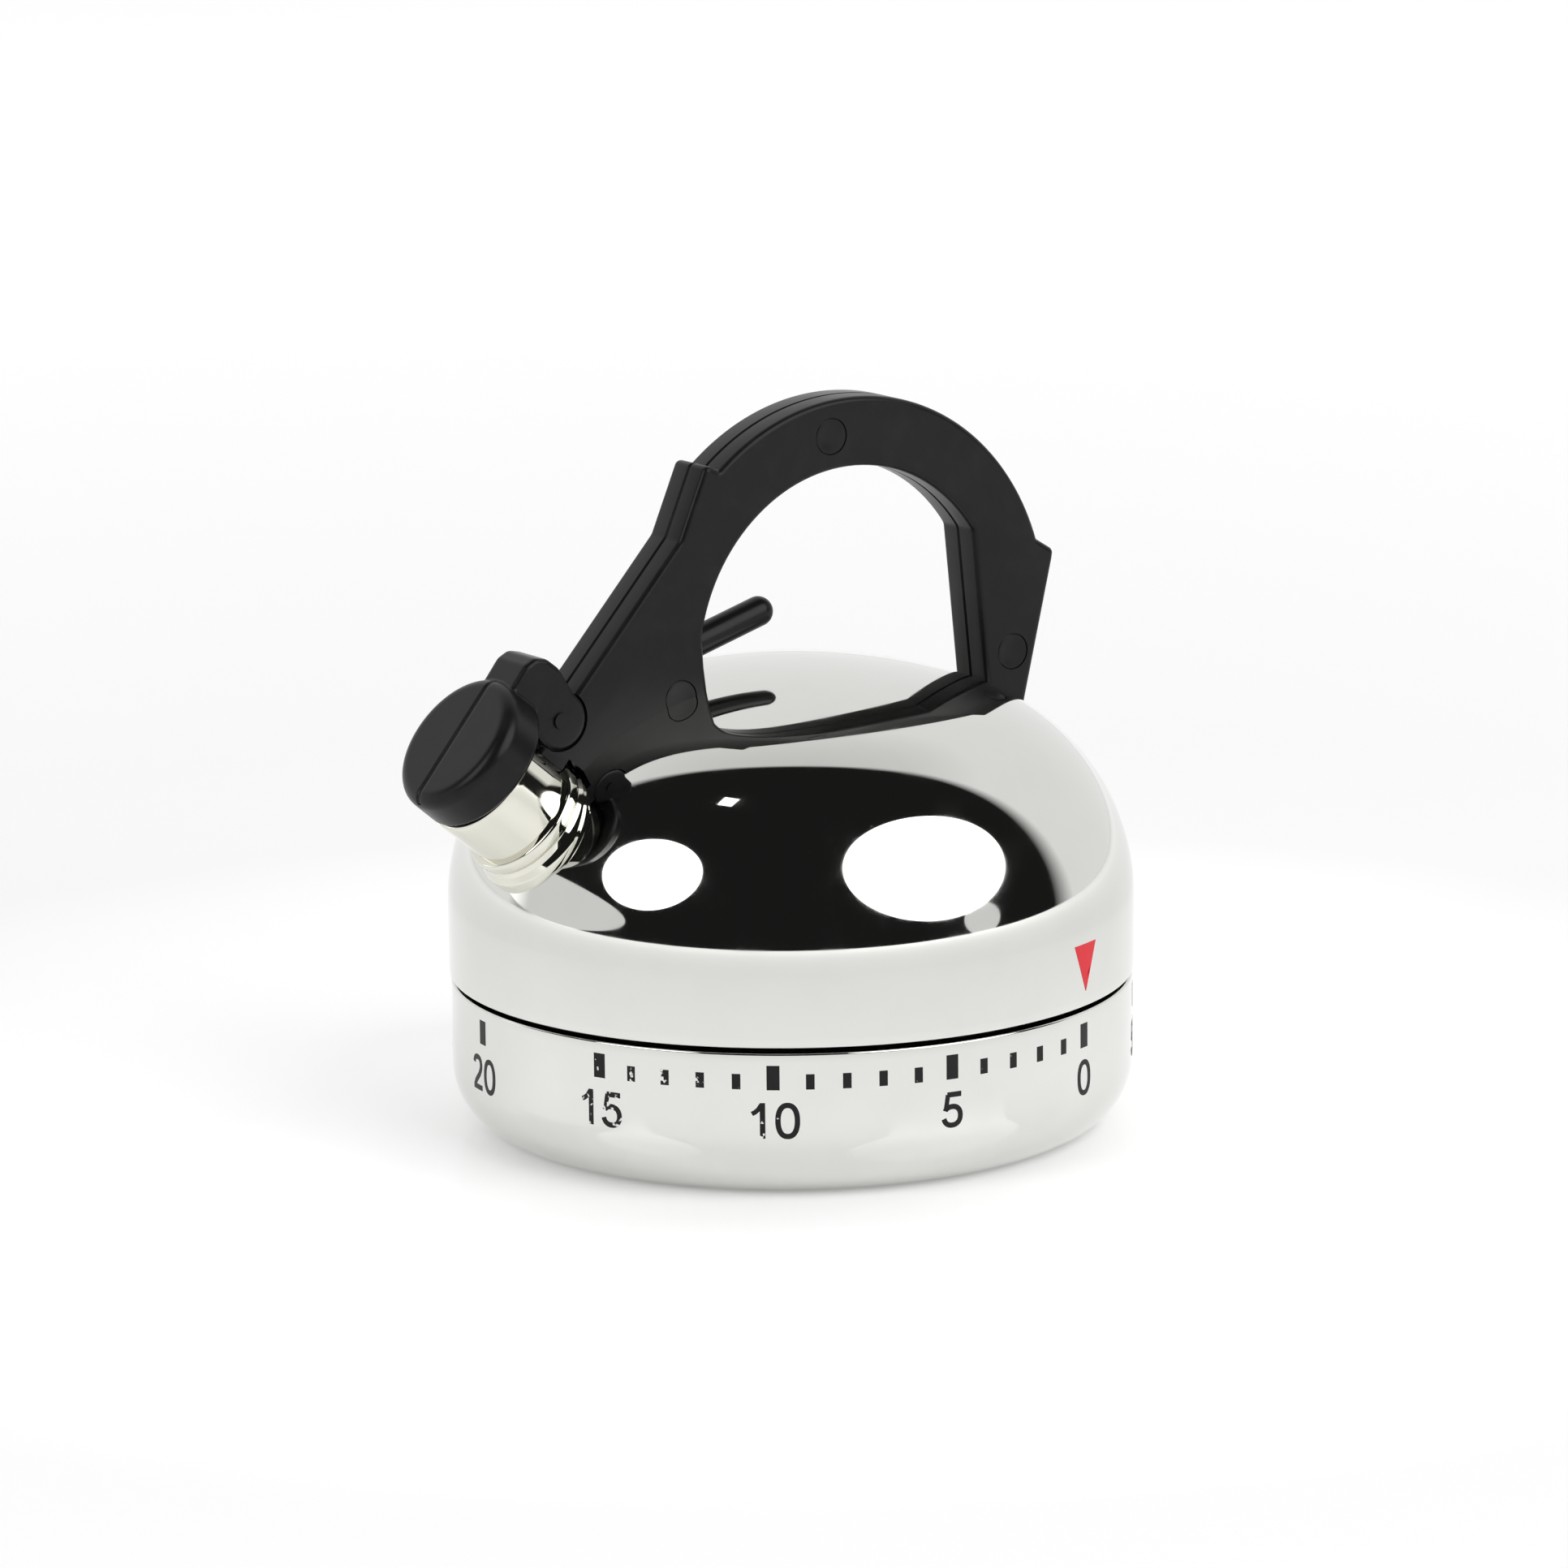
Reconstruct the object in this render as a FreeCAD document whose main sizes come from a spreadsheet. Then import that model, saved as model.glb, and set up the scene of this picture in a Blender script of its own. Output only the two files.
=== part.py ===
"""Kettle-shaped 60-minute clockwork kitchen timer, built as an assembly of separate pieces.

Frame: +Z up, origin at the centre of the underside, the spout along -X, the handle in the XZ plane.
"""
import FreeCAD, Part

import math
import os

import Sketcher
from FreeCAD import Placement, Rotation, Vector

doc = FreeCAD.newDocument("KettleTimer")
sheet = doc.addObject("Spreadsheet::Sheet", "Dims")

DRIVING = {
    # base and scale ring
    "ring_inset": 0.2, "ring_top": 14.79, "ring_wall": 1.3, "foot_inset": 5.2, "ring_curl": 6.3,
    "ledge_width": 3.0, "cover_thick": 1.4, "cover_play": 0.15, "guide_wall": 1.2, "guide_rise": 3.2,
    "guide_play": 0.35,
    # dome
    "dome_radius": 34.0, "dome_gap": 0.5, "dome_straight": 7.05, "shoulder_drop": 24.41,
    "dome_height": 45.95, "dome_wall": 1.0, "hub_radius": 4.2, "hub_drop": 17.5, "carrier_thick": 1.6,
    # handle, its places given as distances in from the dome's side or up from its top
    "handle_thick": 5.5, "arch_x": 5.75, "arch_rise": 1.95, "arch_radius": 24.1, "grip_radius": 18.0,
    "grip_rise": 1.15, "ledge_x": 11.3, "ledge_rise": 0.9, "bend_x": 14.45, "bend_rise": 14.05,
    "pin_radius": 1.85, "pin_inset": 0.1, "rear_pin_drop": 1.75, "foot_share": 0.5786,
    "foot_screw": 1.1, "foot_grip": 0.61, "rear_inset": 9.4, "tab_inset": 14.5, "tab_width": 4.0,
    # spout and cap, measured along and across the spout's axis from the cap's face
    "spout_tilt": 40.0, "face_reach": 6.2, "face_drop": 3.8, "spout_radius": 5.8, "spout_bore": 3.3,
    "neck_radius": 4.15, "cap_radius": 7.25, "cap_lift": 1.5, "cap_depth": 4.6, "cap_wall": 1.25,
    "cap_bore": 5.9, "cap_bore_lift": 0.7, "spout_length": 18.7, "spigot_radius": 4.6,
    "collar_radius": 6.45, "collar_start": 10.8, "collar_width": 1.5,
    "pivot_back": 7.55, "pivot_up": 8.9, "knuckle_radius": 2.6, "cheek_radius": 2.85,
    "tongue_thick": 4.0, "lever_thick": 2.0, "slot_play": 0.15, "pivot_radius": 0.8, "pivot_play": 0.06,
    "rod_radius": 1.5, "rod_reach": 27.6, "rod_slope": 16.2, "rod_travel": 8.0,
    # movement
    "plate_low": 7.2, "plate_high": 19.4, "plate_thick": 1.0, "plate_inset": 8.0, "pillar_inset": 10.6,
    "pillar_radius": 1.9, "screw_radius": 1.0, "shaft_play": 0.05, "arbor_radius": 1.6,
    "main_module": 0.55, "second_module": 0.45, "third_module": 0.40, "wheel_thick": 0.9,
    "staff_radius": 0.6, "bell_radius": 20.0, "bell_wall": 0.8, "bell_low": 3.4,
}


class Size:
    """A number that keeps the spreadsheet expression it came from."""

    def __init__(self, value, text=None):
        self.value = float(value)
        self.text = text or repr(float(value))

    def _with(self, other, sign, value):
        return Size(value, "(" + self.text + " " + sign + " " + other.text + ")")

    def __add__(self, other):
        other = as_size(other)
        return self._with(other, "+", self.value + other.value)

    def __sub__(self, other):
        other = as_size(other)
        return self._with(other, "-", self.value - other.value)

    def __mul__(self, other):
        other = as_size(other)
        return self._with(other, "*", self.value * other.value)

    def __truediv__(self, other):
        other = as_size(other)
        return self._with(other, "/", self.value / other.value)

    def __radd__(self, other):
        return as_size(other) + self

    def __rsub__(self, other):
        return as_size(other) - self

    def __rmul__(self, other):
        return as_size(other) * self

    def __neg__(self):
        return Size(-self.value, "(0 - " + self.text + ")")


def as_size(value):
    return value if isinstance(value, Size) else Size(value)


def root(size):
    return Size(math.sqrt(size.value), "sqrt(" + size.text + ")")


def cosine(angle):
    return Size(math.cos(math.radians(angle.value)), "cos(" + angle.text + " * 1 deg)")


def sine(angle):
    return Size(math.sin(math.radians(angle.value)), "sin(" + angle.text + " * 1 deg)")


class Dimensions:
    """Each driving dimension as an attribute, backed by one aliased cell."""

    def __init__(self, table):
        for row, (alias, value) in enumerate(table.items(), start=1):
            sheet.set("A" + str(row), alias)
            sheet.set("B" + str(row), str(value))
            sheet.setAlias("B" + str(row), alias)
            setattr(self, alias, Size(value, "Dims." + alias))


d = Dimensions(DRIVING)
doc.recompute()
d.ring_radius = d.dome_radius - d.ring_inset
d.foot_radius = d.dome_radius - d.foot_inset
d.shoulder_radius = d.dome_height - d.shoulder_drop
d.plate_radius = d.dome_radius - d.plate_inset
d.pillar_ring = d.dome_radius - d.pillar_inset
d.rear_foot = d.dome_radius - d.rear_inset
d.tab_x = d.dome_radius - d.tab_inset
d.arch_z = d.dome_height + d.arch_rise
d.grip_z = d.dome_height + d.grip_rise
d.bend_z = d.dome_height + d.bend_rise
d.face_x = d.dome_radius + d.face_reach
d.face_z = d.dome_height - d.face_drop
NODES = []
ZERO = Size(0)
PILLAR_TURN = 60


def node(thing, label):
    """Registers a finished piece under the name that its file gets."""
    thing.Label = label
    NODES.append(thing)
    return thing


def bind(thing, name, size):
    thing.setExpression(name, as_size(size).text)


def place(thing, x=ZERO, y=ZERO, z=ZERO):
    x, y, z = as_size(x), as_size(y), as_size(z)
    thing.Placement = Placement(Vector(x.value, y.value, z.value), thing.Placement.Rotation)
    for axis, size in (("x", x), ("y", y), ("z", z)):
        bind(thing, "Placement.Base." + axis, size)
    return thing


def cylinder(name, radius, height, x=ZERO, y=ZERO, z=ZERO):
    thing = doc.addObject("Part::Cylinder", name)
    bind(thing, "Radius", radius)
    bind(thing, "Height", height)
    return place(thing, x, y, z)


def cylinder_along_y(name, radius, length, x, z):
    """A cylinder along Y, centred on the XZ plane."""
    thing = doc.addObject("Part::Cylinder", name)
    thing.Placement.Rotation = Rotation(Vector(1, 0, 0), -90)
    bind(thing, "Radius", radius)
    bind(thing, "Height", length)
    return place(thing, x, -(as_size(length) / 2), z)


def block(name, low, size):
    thing = doc.addObject("Part::Box", name)
    for side, value in zip(("Length", "Width", "Height"), size):
        bind(thing, side, value)
    return place(thing, *low)


def cut(name, base, *tools):
    thing = doc.addObject("Part::Cut", name)
    thing.Base = base
    thing.Tool = tools[0] if len(tools) == 1 else join(name + "_tools", *tools)
    return thing


def join(name, *shapes):
    thing = doc.addObject("Part::MultiFuse", name)
    thing.Shapes = list(shapes)
    return thing


def common(name, *shapes):
    thing = doc.addObject("Part::MultiCommon", name)
    thing.Shapes = list(shapes)
    return thing


def group(name, *shapes):
    """Identical loose pieces kept together as separate solids."""
    thing = doc.addObject("Part::Compound", name)
    thing.Links = list(shapes)
    return thing


def feature(name, shape, placement=None):
    thing = doc.addObject("Part::Feature", name)
    thing.Shape = shape
    if placement is not None:
        thing.Placement = placement
    return thing


# ---------------------------------------------------------------- sketches


def origin_plane(body, role):
    return next(item for item in body.Origin.OriginFeatures if item.Role == role)


def arc_between(first, last, radius, turn):
    """An arc from first to last; turn is +1 counter-clockwise and -1 clockwise."""
    chord = last - first
    middle = (first + last) * 0.5
    normal = Vector(-chord.y, chord.x, 0).normalize()
    height = math.sqrt(max(radius * radius - chord.Length ** 2 / 4, 0.0))
    centre = middle + normal * height * turn
    circle = Part.Circle(centre, Vector(0, 0, 1), radius)
    start, end = (first, last) if turn > 0 else (last, first)
    angles = [math.atan2(point.y - centre.y, point.x - centre.x) for point in (start, end)]
    if angles[1] < angles[0]:
        angles[1] += 2 * math.pi
    return Part.ArcOfCircle(circle, *angles)


def pin_point(sketch, index, position, x, y):
    """Ties one end of a sketch edge to its coordinates."""
    for size, kind, axis in ((x, "DistanceX", -2), (y, "DistanceY", -1)):
        if size.value == 0:
            sketch.addConstraint(Sketcher.Constraint("PointOnObject", index, position, axis))
        else:
            number = sketch.addConstraint(Sketcher.Constraint(kind, -1, 1, index, position, size.value))
            sketch.setExpression("Constraints[" + str(number) + "]", size.text)


def outline(body, name, role, corners, arcs=None):
    """A closed sketch through corners; arcs maps an edge's number to its radius and turn."""
    arcs = arcs or {}
    sketch = body.newObject("Sketcher::SketchObject", name)
    sketch.AttachmentSupport = [(origin_plane(body, role), "")]
    sketch.MapMode = "FlatFace"
    corners = [(as_size(x), as_size(y)) for x, y in corners]
    points = [Vector(x.value, y.value, 0) for x, y in corners]
    starts = []
    ends = []
    for number, first in enumerate(points):
        last = points[(number + 1) % len(points)]
        if number in arcs:
            radius, turn = arcs[number]
            sketch.addGeometry(arc_between(first, last, as_size(radius).value, turn), False)
            starts.append(1 if turn > 0 else 2)
            ends.append(2 if turn > 0 else 1)
        else:
            sketch.addGeometry(Part.LineSegment(first, last), False)
            starts.append(1)
            ends.append(2)
    count = len(points)
    for number in range(count):
        following = (number + 1) % count
        sketch.addConstraint(
            Sketcher.Constraint("Coincident", number, ends[number], following, starts[following]))
    for number, (x, y) in enumerate(corners):
        pin_point(sketch, number, starts[number], x, y)
    for number, (radius, turn) in arcs.items():
        radius = as_size(radius)
        index = sketch.addConstraint(Sketcher.Constraint("Radius", number, radius.value))
        sketch.setExpression("Constraints[" + str(index) + "]", radius.text)
    return sketch


def new_body(name):
    return doc.addObject("PartDesign::Body", name)


def turned(name, corners, arcs=None):
    """A solid of revolution about Z from a half section given as (radius, height) corners."""
    body = new_body(name)
    section = outline(body, name + "_section", "XZ_Plane", corners, arcs)
    solid = body.newObject("PartDesign::Revolution", name + "_turn")
    solid.Profile = section
    solid.ReferenceAxis = (section, ["V_Axis"])
    solid.Angle = 360
    section.Visibility = False
    return body


def plate_in_xz(name, corners, thickness, near=None, arcs=None):
    """An outline in the XZ plane made thick along Y from near, or about the plane."""
    body = new_body(name)
    section = outline(body, name + "_outline", "XZ_Plane", corners, arcs)
    solid = body.newObject("PartDesign::Pad", name + "_pad")
    solid.Profile = section
    bind(solid, "Length", thickness)
    if near is None:
        solid.SideType = "Symmetric"
    else:
        place(body, ZERO, near, ZERO)
    return body


# ---------------------------------------------------------------- shared places

half = d.handle_thick / 2
dome_low = d.ring_top + d.dome_gap
shoulder_low = dome_low + d.dome_straight
foot_z = shoulder_low + (d.dome_height - shoulder_low) * d.foot_share
shoulder_x = d.dome_radius - d.shoulder_radius
along_x = cosine(d.spout_tilt)
along_z = sine(d.spout_tilt)


def spout_point(along, up):
    """A place in the handle's plane from its distances along and across the spout's axis."""
    along, up = as_size(along), as_size(up)
    x = -(d.face_x + along * along_x - up * along_z)
    z = d.face_z + along * along_z + up * along_x
    return x, z


pivot_x, pivot_z = spout_point(-d.pivot_back, d.pivot_up)


def lay_on_spout(thing, along=ZERO, up=ZERO):
    """Stands a body made about Z on the spout's axis, with its own +X towards the handle."""
    x, z = spout_point(along, up)
    thing.Placement = Placement(Vector(), Rotation(Vector(0, 1, 0), d.spout_tilt.value - 90))
    return place(thing, x, ZERO, z)


def dome_numbers(inset):
    """Radius, height and centres of the dome's two arcs, moved inwards by inset."""
    shoulder = d.shoulder_radius.value - inset
    inner_x = shoulder_x.value
    rise = d.dome_height.value - inset - shoulder_low.value
    crown_drop = (inner_x ** 2 + rise ** 2 - shoulder ** 2) / (2 * (rise - shoulder))
    tilt = math.atan2(inner_x, crown_drop - rise)
    meet = Vector(inner_x + shoulder * math.sin(tilt), shoulder_low.value + shoulder * math.cos(tilt), 0)
    return shoulder, crown_drop, meet


def dome_profile(inset, low):
    """Half section of the dome's outside, moved inwards by inset, closed along the axis."""
    shoulder, crown, meet = dome_numbers(inset)
    wall = d.dome_radius.value - inset
    top = d.dome_height.value - inset
    crown_z = top - crown
    tilt = math.atan2(meet.x, meet.y - crown_z)
    middle = Vector(crown * math.sin(tilt / 2), 0, crown_z + crown * math.cos(tilt / 2))
    bend = math.atan2(meet.y - shoulder_low.value, meet.x - shoulder_x.value) / 2
    shoulder_middle = Vector(shoulder_x.value + shoulder * math.cos(bend), 0,
                             shoulder_low.value + shoulder * math.sin(bend))
    corner = Vector(wall, 0, shoulder_low.value)
    joint = Vector(meet.x, 0, meet.y)
    edges = [
        Part.LineSegment(Vector(0, 0, low), Vector(wall, 0, low)).toShape(),
        Part.LineSegment(Vector(wall, 0, low), corner).toShape(),
        Part.Arc(corner, shoulder_middle, joint).toShape(),
        Part.Arc(joint, middle, Vector(0, 0, top)).toShape(),
        Part.LineSegment(Vector(0, 0, top), Vector(0, 0, low)).toShape(),
    ]
    return Part.Face(Part.Wire(edges))


def dome_solid(inset, low):
    return dome_profile(inset, low).revolve(Vector(0, 0, 0), Vector(0, 0, 1), 360)


# ---------------------------------------------------------------- base


def make_base():
    inner = d.ring_radius - d.ring_wall
    hole = d.foot_radius - d.ledge_width
    floor = d.cover_thick
    base = turned("BaseRing", [
        (hole, ZERO), (d.foot_radius, ZERO), (d.ring_radius, d.ring_curl), (d.ring_radius, d.ring_top),
        (inner, d.ring_top), (inner, d.ring_curl), (d.foot_radius - 1, floor), (hole, floor)],
        {1: (d.ring_curl, 1), 5: (d.ring_curl, -1)})
    node(base, "base_ring")

    rim = hole - d.cover_play
    flange = d.foot_radius - 1.4
    cover = turned("BottomCover", [
        (ZERO, ZERO), (rim, ZERO), (rim, floor), (flange, floor), (flange, floor * 2), (ZERO, floor * 2)])
    posts = []
    holes = []
    for number in range(3):
        x, y = on_circle(d.pillar_ring, PILLAR_TURN + 120 * number)
        posts.append(cylinder("CoverPost" + str(number), d.pillar_radius + 0.6,
                              d.plate_low - floor, x, y, floor))
        holes.append(cylinder("CoverHole" + str(number), d.screw_radius, d.plate_low, x, y, ZERO))
        holes.append(cylinder("CoverSink" + str(number), d.screw_radius * 2 + 0.2, floor, x, y, ZERO))
    node(cut("BottomCoverDone", join("CoverWithPosts", cover, *posts), *holes), "bottom_cover")

    guide_out = inner - 0.15
    guide = turned("GuideRing", [
        (guide_out - d.guide_wall, d.ring_top - 4), (guide_out, d.ring_top - 4),
        (guide_out, d.ring_top - 1), (guide_out - d.guide_play - 0.4, d.ring_top),
        (guide_out - d.guide_play - 0.4, d.ring_top + d.guide_rise),
        (guide_out - d.guide_wall, d.ring_top + d.guide_rise)])
    node(guide, "guide_ring")


def on_circle(radius, angle, x=ZERO, y=ZERO):
    """A place at radius and angle, in degrees, about (x, y)."""
    turn = math.radians(angle)
    return x + as_size(radius) * round(math.cos(turn), 9), y + as_size(radius) * round(math.sin(turn), 9)


# ---------------------------------------------------------------- dome


def dome_height_at(radius, inset=0.0):
    """Height of the dome's skin over a radius."""
    shoulder, crown, meet = dome_numbers(inset)
    top = d.dome_height.value - inset
    if radius < meet.x:
        return top - crown + math.sqrt(crown ** 2 - radius ** 2)
    return shoulder_low.value + math.sqrt(shoulder ** 2 - (radius - shoulder_x.value) ** 2)


def tab_box(name, play):
    """The space of the two tabs that hold the front foot down through the dome."""
    width = d.tab_width + 2 * play
    depth = d.tongue_thick + 2 * play
    return block(name, (-(d.tab_x + width / 2), -(depth / 2), foot_z), (width, depth, Size(9)))


def make_dome():
    low = dome_low.value
    shell = dome_solid(0.0, low).cut(dome_solid(d.dome_wall.value, low - 1))
    dome = feature("DomeBlank", shell)
    screw_hole = cylinder("DomeScrewHole", d.foot_screw + 0.1, Size(20), d.rear_foot, ZERO, Size(30))
    spout_hole = cylinder("DomeSpoutHole", d.spigot_radius, Size(10))
    lay_on_spout(spout_hole, -(d.spout_length + 1))
    node(cut("DomeShell", dome, screw_hole, spout_hole, tab_box("DomeSlot", Size(0))), "dome_shell")

    reach = d.tab_x.value + 5
    outer = dome_solid(d.dome_wall.value, low)
    ceiling = dome_solid(d.dome_wall.value + d.carrier_thick.value, low - 1)
    disc = outer.common(Part.makeCylinder(reach, 60)).cut(ceiling)
    hub_low = d.dome_height - d.dome_wall - d.hub_drop
    hub = Part.makeCylinder(d.hub_radius.value, d.hub_drop.value - 1.0, Vector(0, 0, hub_low.value))
    carrier = feature("CarrierBlank", disc.fuse(hub))
    bore = cylinder("HubBore", d.arbor_radius, d.hub_drop - 3, ZERO, ZERO, hub_low)
    clear = cylinder("CarrierScrewHole", d.foot_screw + 1.6, Size(30), d.rear_foot, ZERO, Size(20))
    spigot = cylinder("CarrierSpigotHole", d.spigot_radius + 0.3, Size(10))
    lay_on_spout(spigot, -(d.spout_length + 1))
    node(cut("DomeCarrier", carrier, bore, clear, spigot, tab_box("CarrierSlot", Size(0.2))), "dome_carrier")

    seat = dome_height_at(d.rear_foot.value + d.foot_screw.value + 1.5, d.dome_wall.value) - 1.0
    wedge = Part.makeCylinder(d.foot_screw.value + 1.2, 8, Vector(d.rear_foot.value, 0, seat))
    wedge = wedge.common(outer)
    bush = feature("BushBlank", wedge)
    bush_hole = cylinder("BushHole", d.foot_screw, Size(30), d.rear_foot, ZERO, Size(20))
    node(cut("HandleBush", bush, bush_hole), "handle_bush")
    head = cylinder("FootScrewHead", d.foot_screw + 1, Size(1.2), d.rear_foot, ZERO, Size(seat - 1.2))
    grip_top = dome_height_at(d.rear_foot.value) + d.foot_grip.value
    shank_length = Size(grip_top - seat + 1.2)
    shank = cylinder("FootScrewShank", d.foot_screw, shank_length, d.rear_foot, ZERO, Size(seat - 1.2))
    node(join("FootScrew", head, shank), "handle_screw")


# ---------------------------------------------------------------- handle


def arch_at(x):
    return d.arch_z + root(d.arch_radius * d.arch_radius - (x - d.arch_x) * (x - d.arch_x))


def grip_at(x):
    return d.grip_z + root(d.grip_radius * d.grip_radius - (x - d.arch_x) * (x - d.arch_x))


def handle_corners():
    """Outline of the bridge handle, clockwise from the little ledge above its front leg."""
    ledge_in = -(d.ledge_x - 1.5)
    notch = d.arch_x + d.arch_radius * 0.952
    corner = d.arch_x + d.grip_radius * 0.833
    leg = d.arch_x - d.grip_radius * 0.985
    return [
        (ledge_in, arch_at(ledge_in)),
        (notch, arch_at(notch)),
        (notch + 2.1, arch_at(notch) - 1.3),
        (notch + 1.95, arch_at(notch) - 2.2),
        (d.rear_foot + 1.8, foot_z),
        (d.rear_foot - 1.7, foot_z),
        (corner, grip_at(corner)),
        (leg, grip_at(leg)),
        (leg + 0.2, grip_at(leg) - 3),
        (leg + 1.0, foot_z + 5),
        (-(d.tab_x + 4.5), foot_z - 2),
        spout_point(-d.pivot_back, Size(3)),
        spout_point(-d.pivot_back, d.pivot_up + 3.5),
        (-d.bend_x, d.bend_z),
        (-d.ledge_x, arch_at(ledge_in) + d.ledge_rise),
    ]


def lever_slot(name, half_height, reach, depth, start=ZERO):
    """The space that the trigger lever sweeps, from its rest down through its travel."""
    low = math.radians(d.rod_slope.value - d.rod_travel.value - 1)
    high = math.radians(d.rod_slope.value + 0.5)
    centre = Vector(pivot_x.value, 0, pivot_z.value)

    def spot(along, across, angle):
        return centre + Vector(along * math.cos(angle) - across * math.sin(angle), 0,
                               along * math.sin(angle) + across * math.cos(angle))

    tall = half_height.value
    corners = [spot(start.value, tall, high), spot(reach.value, tall, high),
               spot(reach.value, -tall, low), spot(start.value, -tall, low)]
    face = Part.Face(Part.makePolygon(corners + corners[:1]))
    thick = depth.value
    solid = face.extrude(Vector(0, thick, 0))
    solid.translate(Vector(0, -thick / 2, 0))
    return feature(name, solid)


def make_handle():
    dome = feature("DomeForHandle", dome_solid(0.0, dome_low.value))
    for side, label in ((-1, "handle_near"), (1, "handle_far")):
        tag = label.title().replace("_", "")
        body = plate_in_xz(tag + "Body", handle_corners(), half, ZERO if side < 0 else half,
                           {0: (d.arch_radius, -1), 6: (d.grip_radius, 1)})
        skin = (d.tongue_thick - d.lever_thick) / 2 - d.slot_play
        inner = d.lever_thick / 2 + d.slot_play
        tongue = cylinder_along_y(tag + "Tongue", d.knuckle_radius, skin, pivot_x, pivot_z)
        place(tongue, pivot_x, inner if side > 0 else -(inner + skin), pivot_z)
        relief = cylinder_along_y(tag + "Relief", d.cheek_radius + 0.2, Size(3), pivot_x, pivot_z)
        place(relief, pivot_x, d.tongue_thick / 2 if side > 0 else -(d.tongue_thick / 2 + 3), pivot_z)
        hub = cylinder_along_y(tag + "Hub", d.knuckle_radius + 0.1, inner * 2, pivot_x, pivot_z)
        bearing = cylinder_along_y(tag + "Bearing", d.pivot_radius + d.pivot_play, Size(8), pivot_x, pivot_z)
        slot_end = d.rod_reach + 0.5
        slot = lever_slot(tag + "Slot", d.rod_radius + 0.2, slot_end, inner * 2)
        mouth = lever_slot(tag + "Mouth", d.rod_radius + 0.3, slot_end, d.rod_radius * 2 + 0.4, Size(13.5))
        spout = cylinder(tag + "SpoutSpace", d.spout_radius + 0.03, Size(20))
        lay_on_spout(spout, Size(-20))
        collar = cylinder(tag + "CollarSpace", d.collar_radius + 0.6, Size(12))
        lay_on_spout(collar, -(d.collar_start - 0.1) - 12)
        trimmed = cut(tag + "Trimmed", body, dome, relief, spout, collar)
        side_box = block(tag + "SideBox", (Size(-60), ZERO if side > 0 else -half, Size(20)),
                         (Size(120), half, Size(60)))
        tabs = common(tag + "Tab", tab_box(tag + "TabBox", Size(0)), side_box)
        whole = join(tag + "Whole", trimmed, tongue, tabs)
        holes = [hub, bearing, slot, mouth]
        holes += [pin_body(tag + "PinHole" + str(number), spot, ZERO)
                  for number, spot in enumerate(pin_spots())]
        holes.append(cylinder(tag + "ScrewHole", d.foot_screw, Size(16), d.rear_foot, ZERO, foot_z - 2))
        node(cut(tag, whole, *holes), label)
    pins = [pin_body("HandlePin" + str(number), spot, d.pin_inset) for number, spot in enumerate(pin_spots())]
    node(group("HandlePins", *pins), "handle_pins")


def pin_spots():
    """Places of the pins that join the two handle halves."""
    crown = d.arch_x - 2.3
    crown_z = arch_at(crown) - (d.arch_radius - d.grip_radius) * 0.58
    return [(crown, crown_z), (d.rear_foot + 0.9, d.dome_height - d.rear_pin_drop)]


def pin_body(name, spot, inset):
    return cylinder_along_y(name, d.pin_radius, d.handle_thick - 2 * inset, *spot)


# ---------------------------------------------------------------- spout and cap


def make_spout():
    step = d.cap_depth + 0.2
    tube = turned("SpoutTubeBody", [
        (d.spout_bore, -d.spout_length), (d.spigot_radius, -d.spout_length),
        (d.spigot_radius, -(d.collar_start + 1.5)), (d.spout_radius, -(d.collar_start + 1.5)),
        (d.spout_radius, -step), (d.neck_radius, -step), (d.neck_radius, Size(-1.5)),
        (d.spout_bore, Size(-1.5))])
    lay_on_spout(tube)
    node(tube, "spout_tube")

    back = d.collar_start + d.collar_width
    collar = turned("SpoutCollarBody", [
        (d.spigot_radius, -(back + 5)), (d.collar_radius + 0.5, -(back + 5)),
        (d.collar_radius + 0.5, -(back + 1.2)),
        (d.collar_radius, -back), (d.collar_radius, -(d.collar_start + 0.4)),
        (d.collar_radius - 0.4, -d.collar_start), (d.spout_radius, -d.collar_start),
        (d.spout_radius, -back), (d.spigot_radius, -back)])
    lay_on_spout(collar)
    dome = feature("DomeForCollar", dome_solid(0.0, dome_low.value))
    node(cut("SpoutCollar", collar, dome), "spout_collar")


def arm_corners():
    """Side view of the cap's arm, from the pivot over the cap and down into its back."""
    top = d.pivot_up + d.cheek_radius
    back = -d.pivot_back
    front = Size(-0.9)
    return [spout_point(*spot) for spot in (
        (back, d.pivot_up - 0.5), (back, top), (front - 3.4, top + 1.3), (front - 1.7, top + 1.25),
        (front - 0.5, top + 0.5), (front, top - 0.7), (front - 0.1, d.cap_lift + d.cap_radius - 1),
        (front - 1.5, d.cap_lift + d.cap_radius - 1.6),
        (back + 3.1, d.cap_lift + d.cap_radius - 1.0), (back + 1.7, d.pivot_up - 1.9))]


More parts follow.
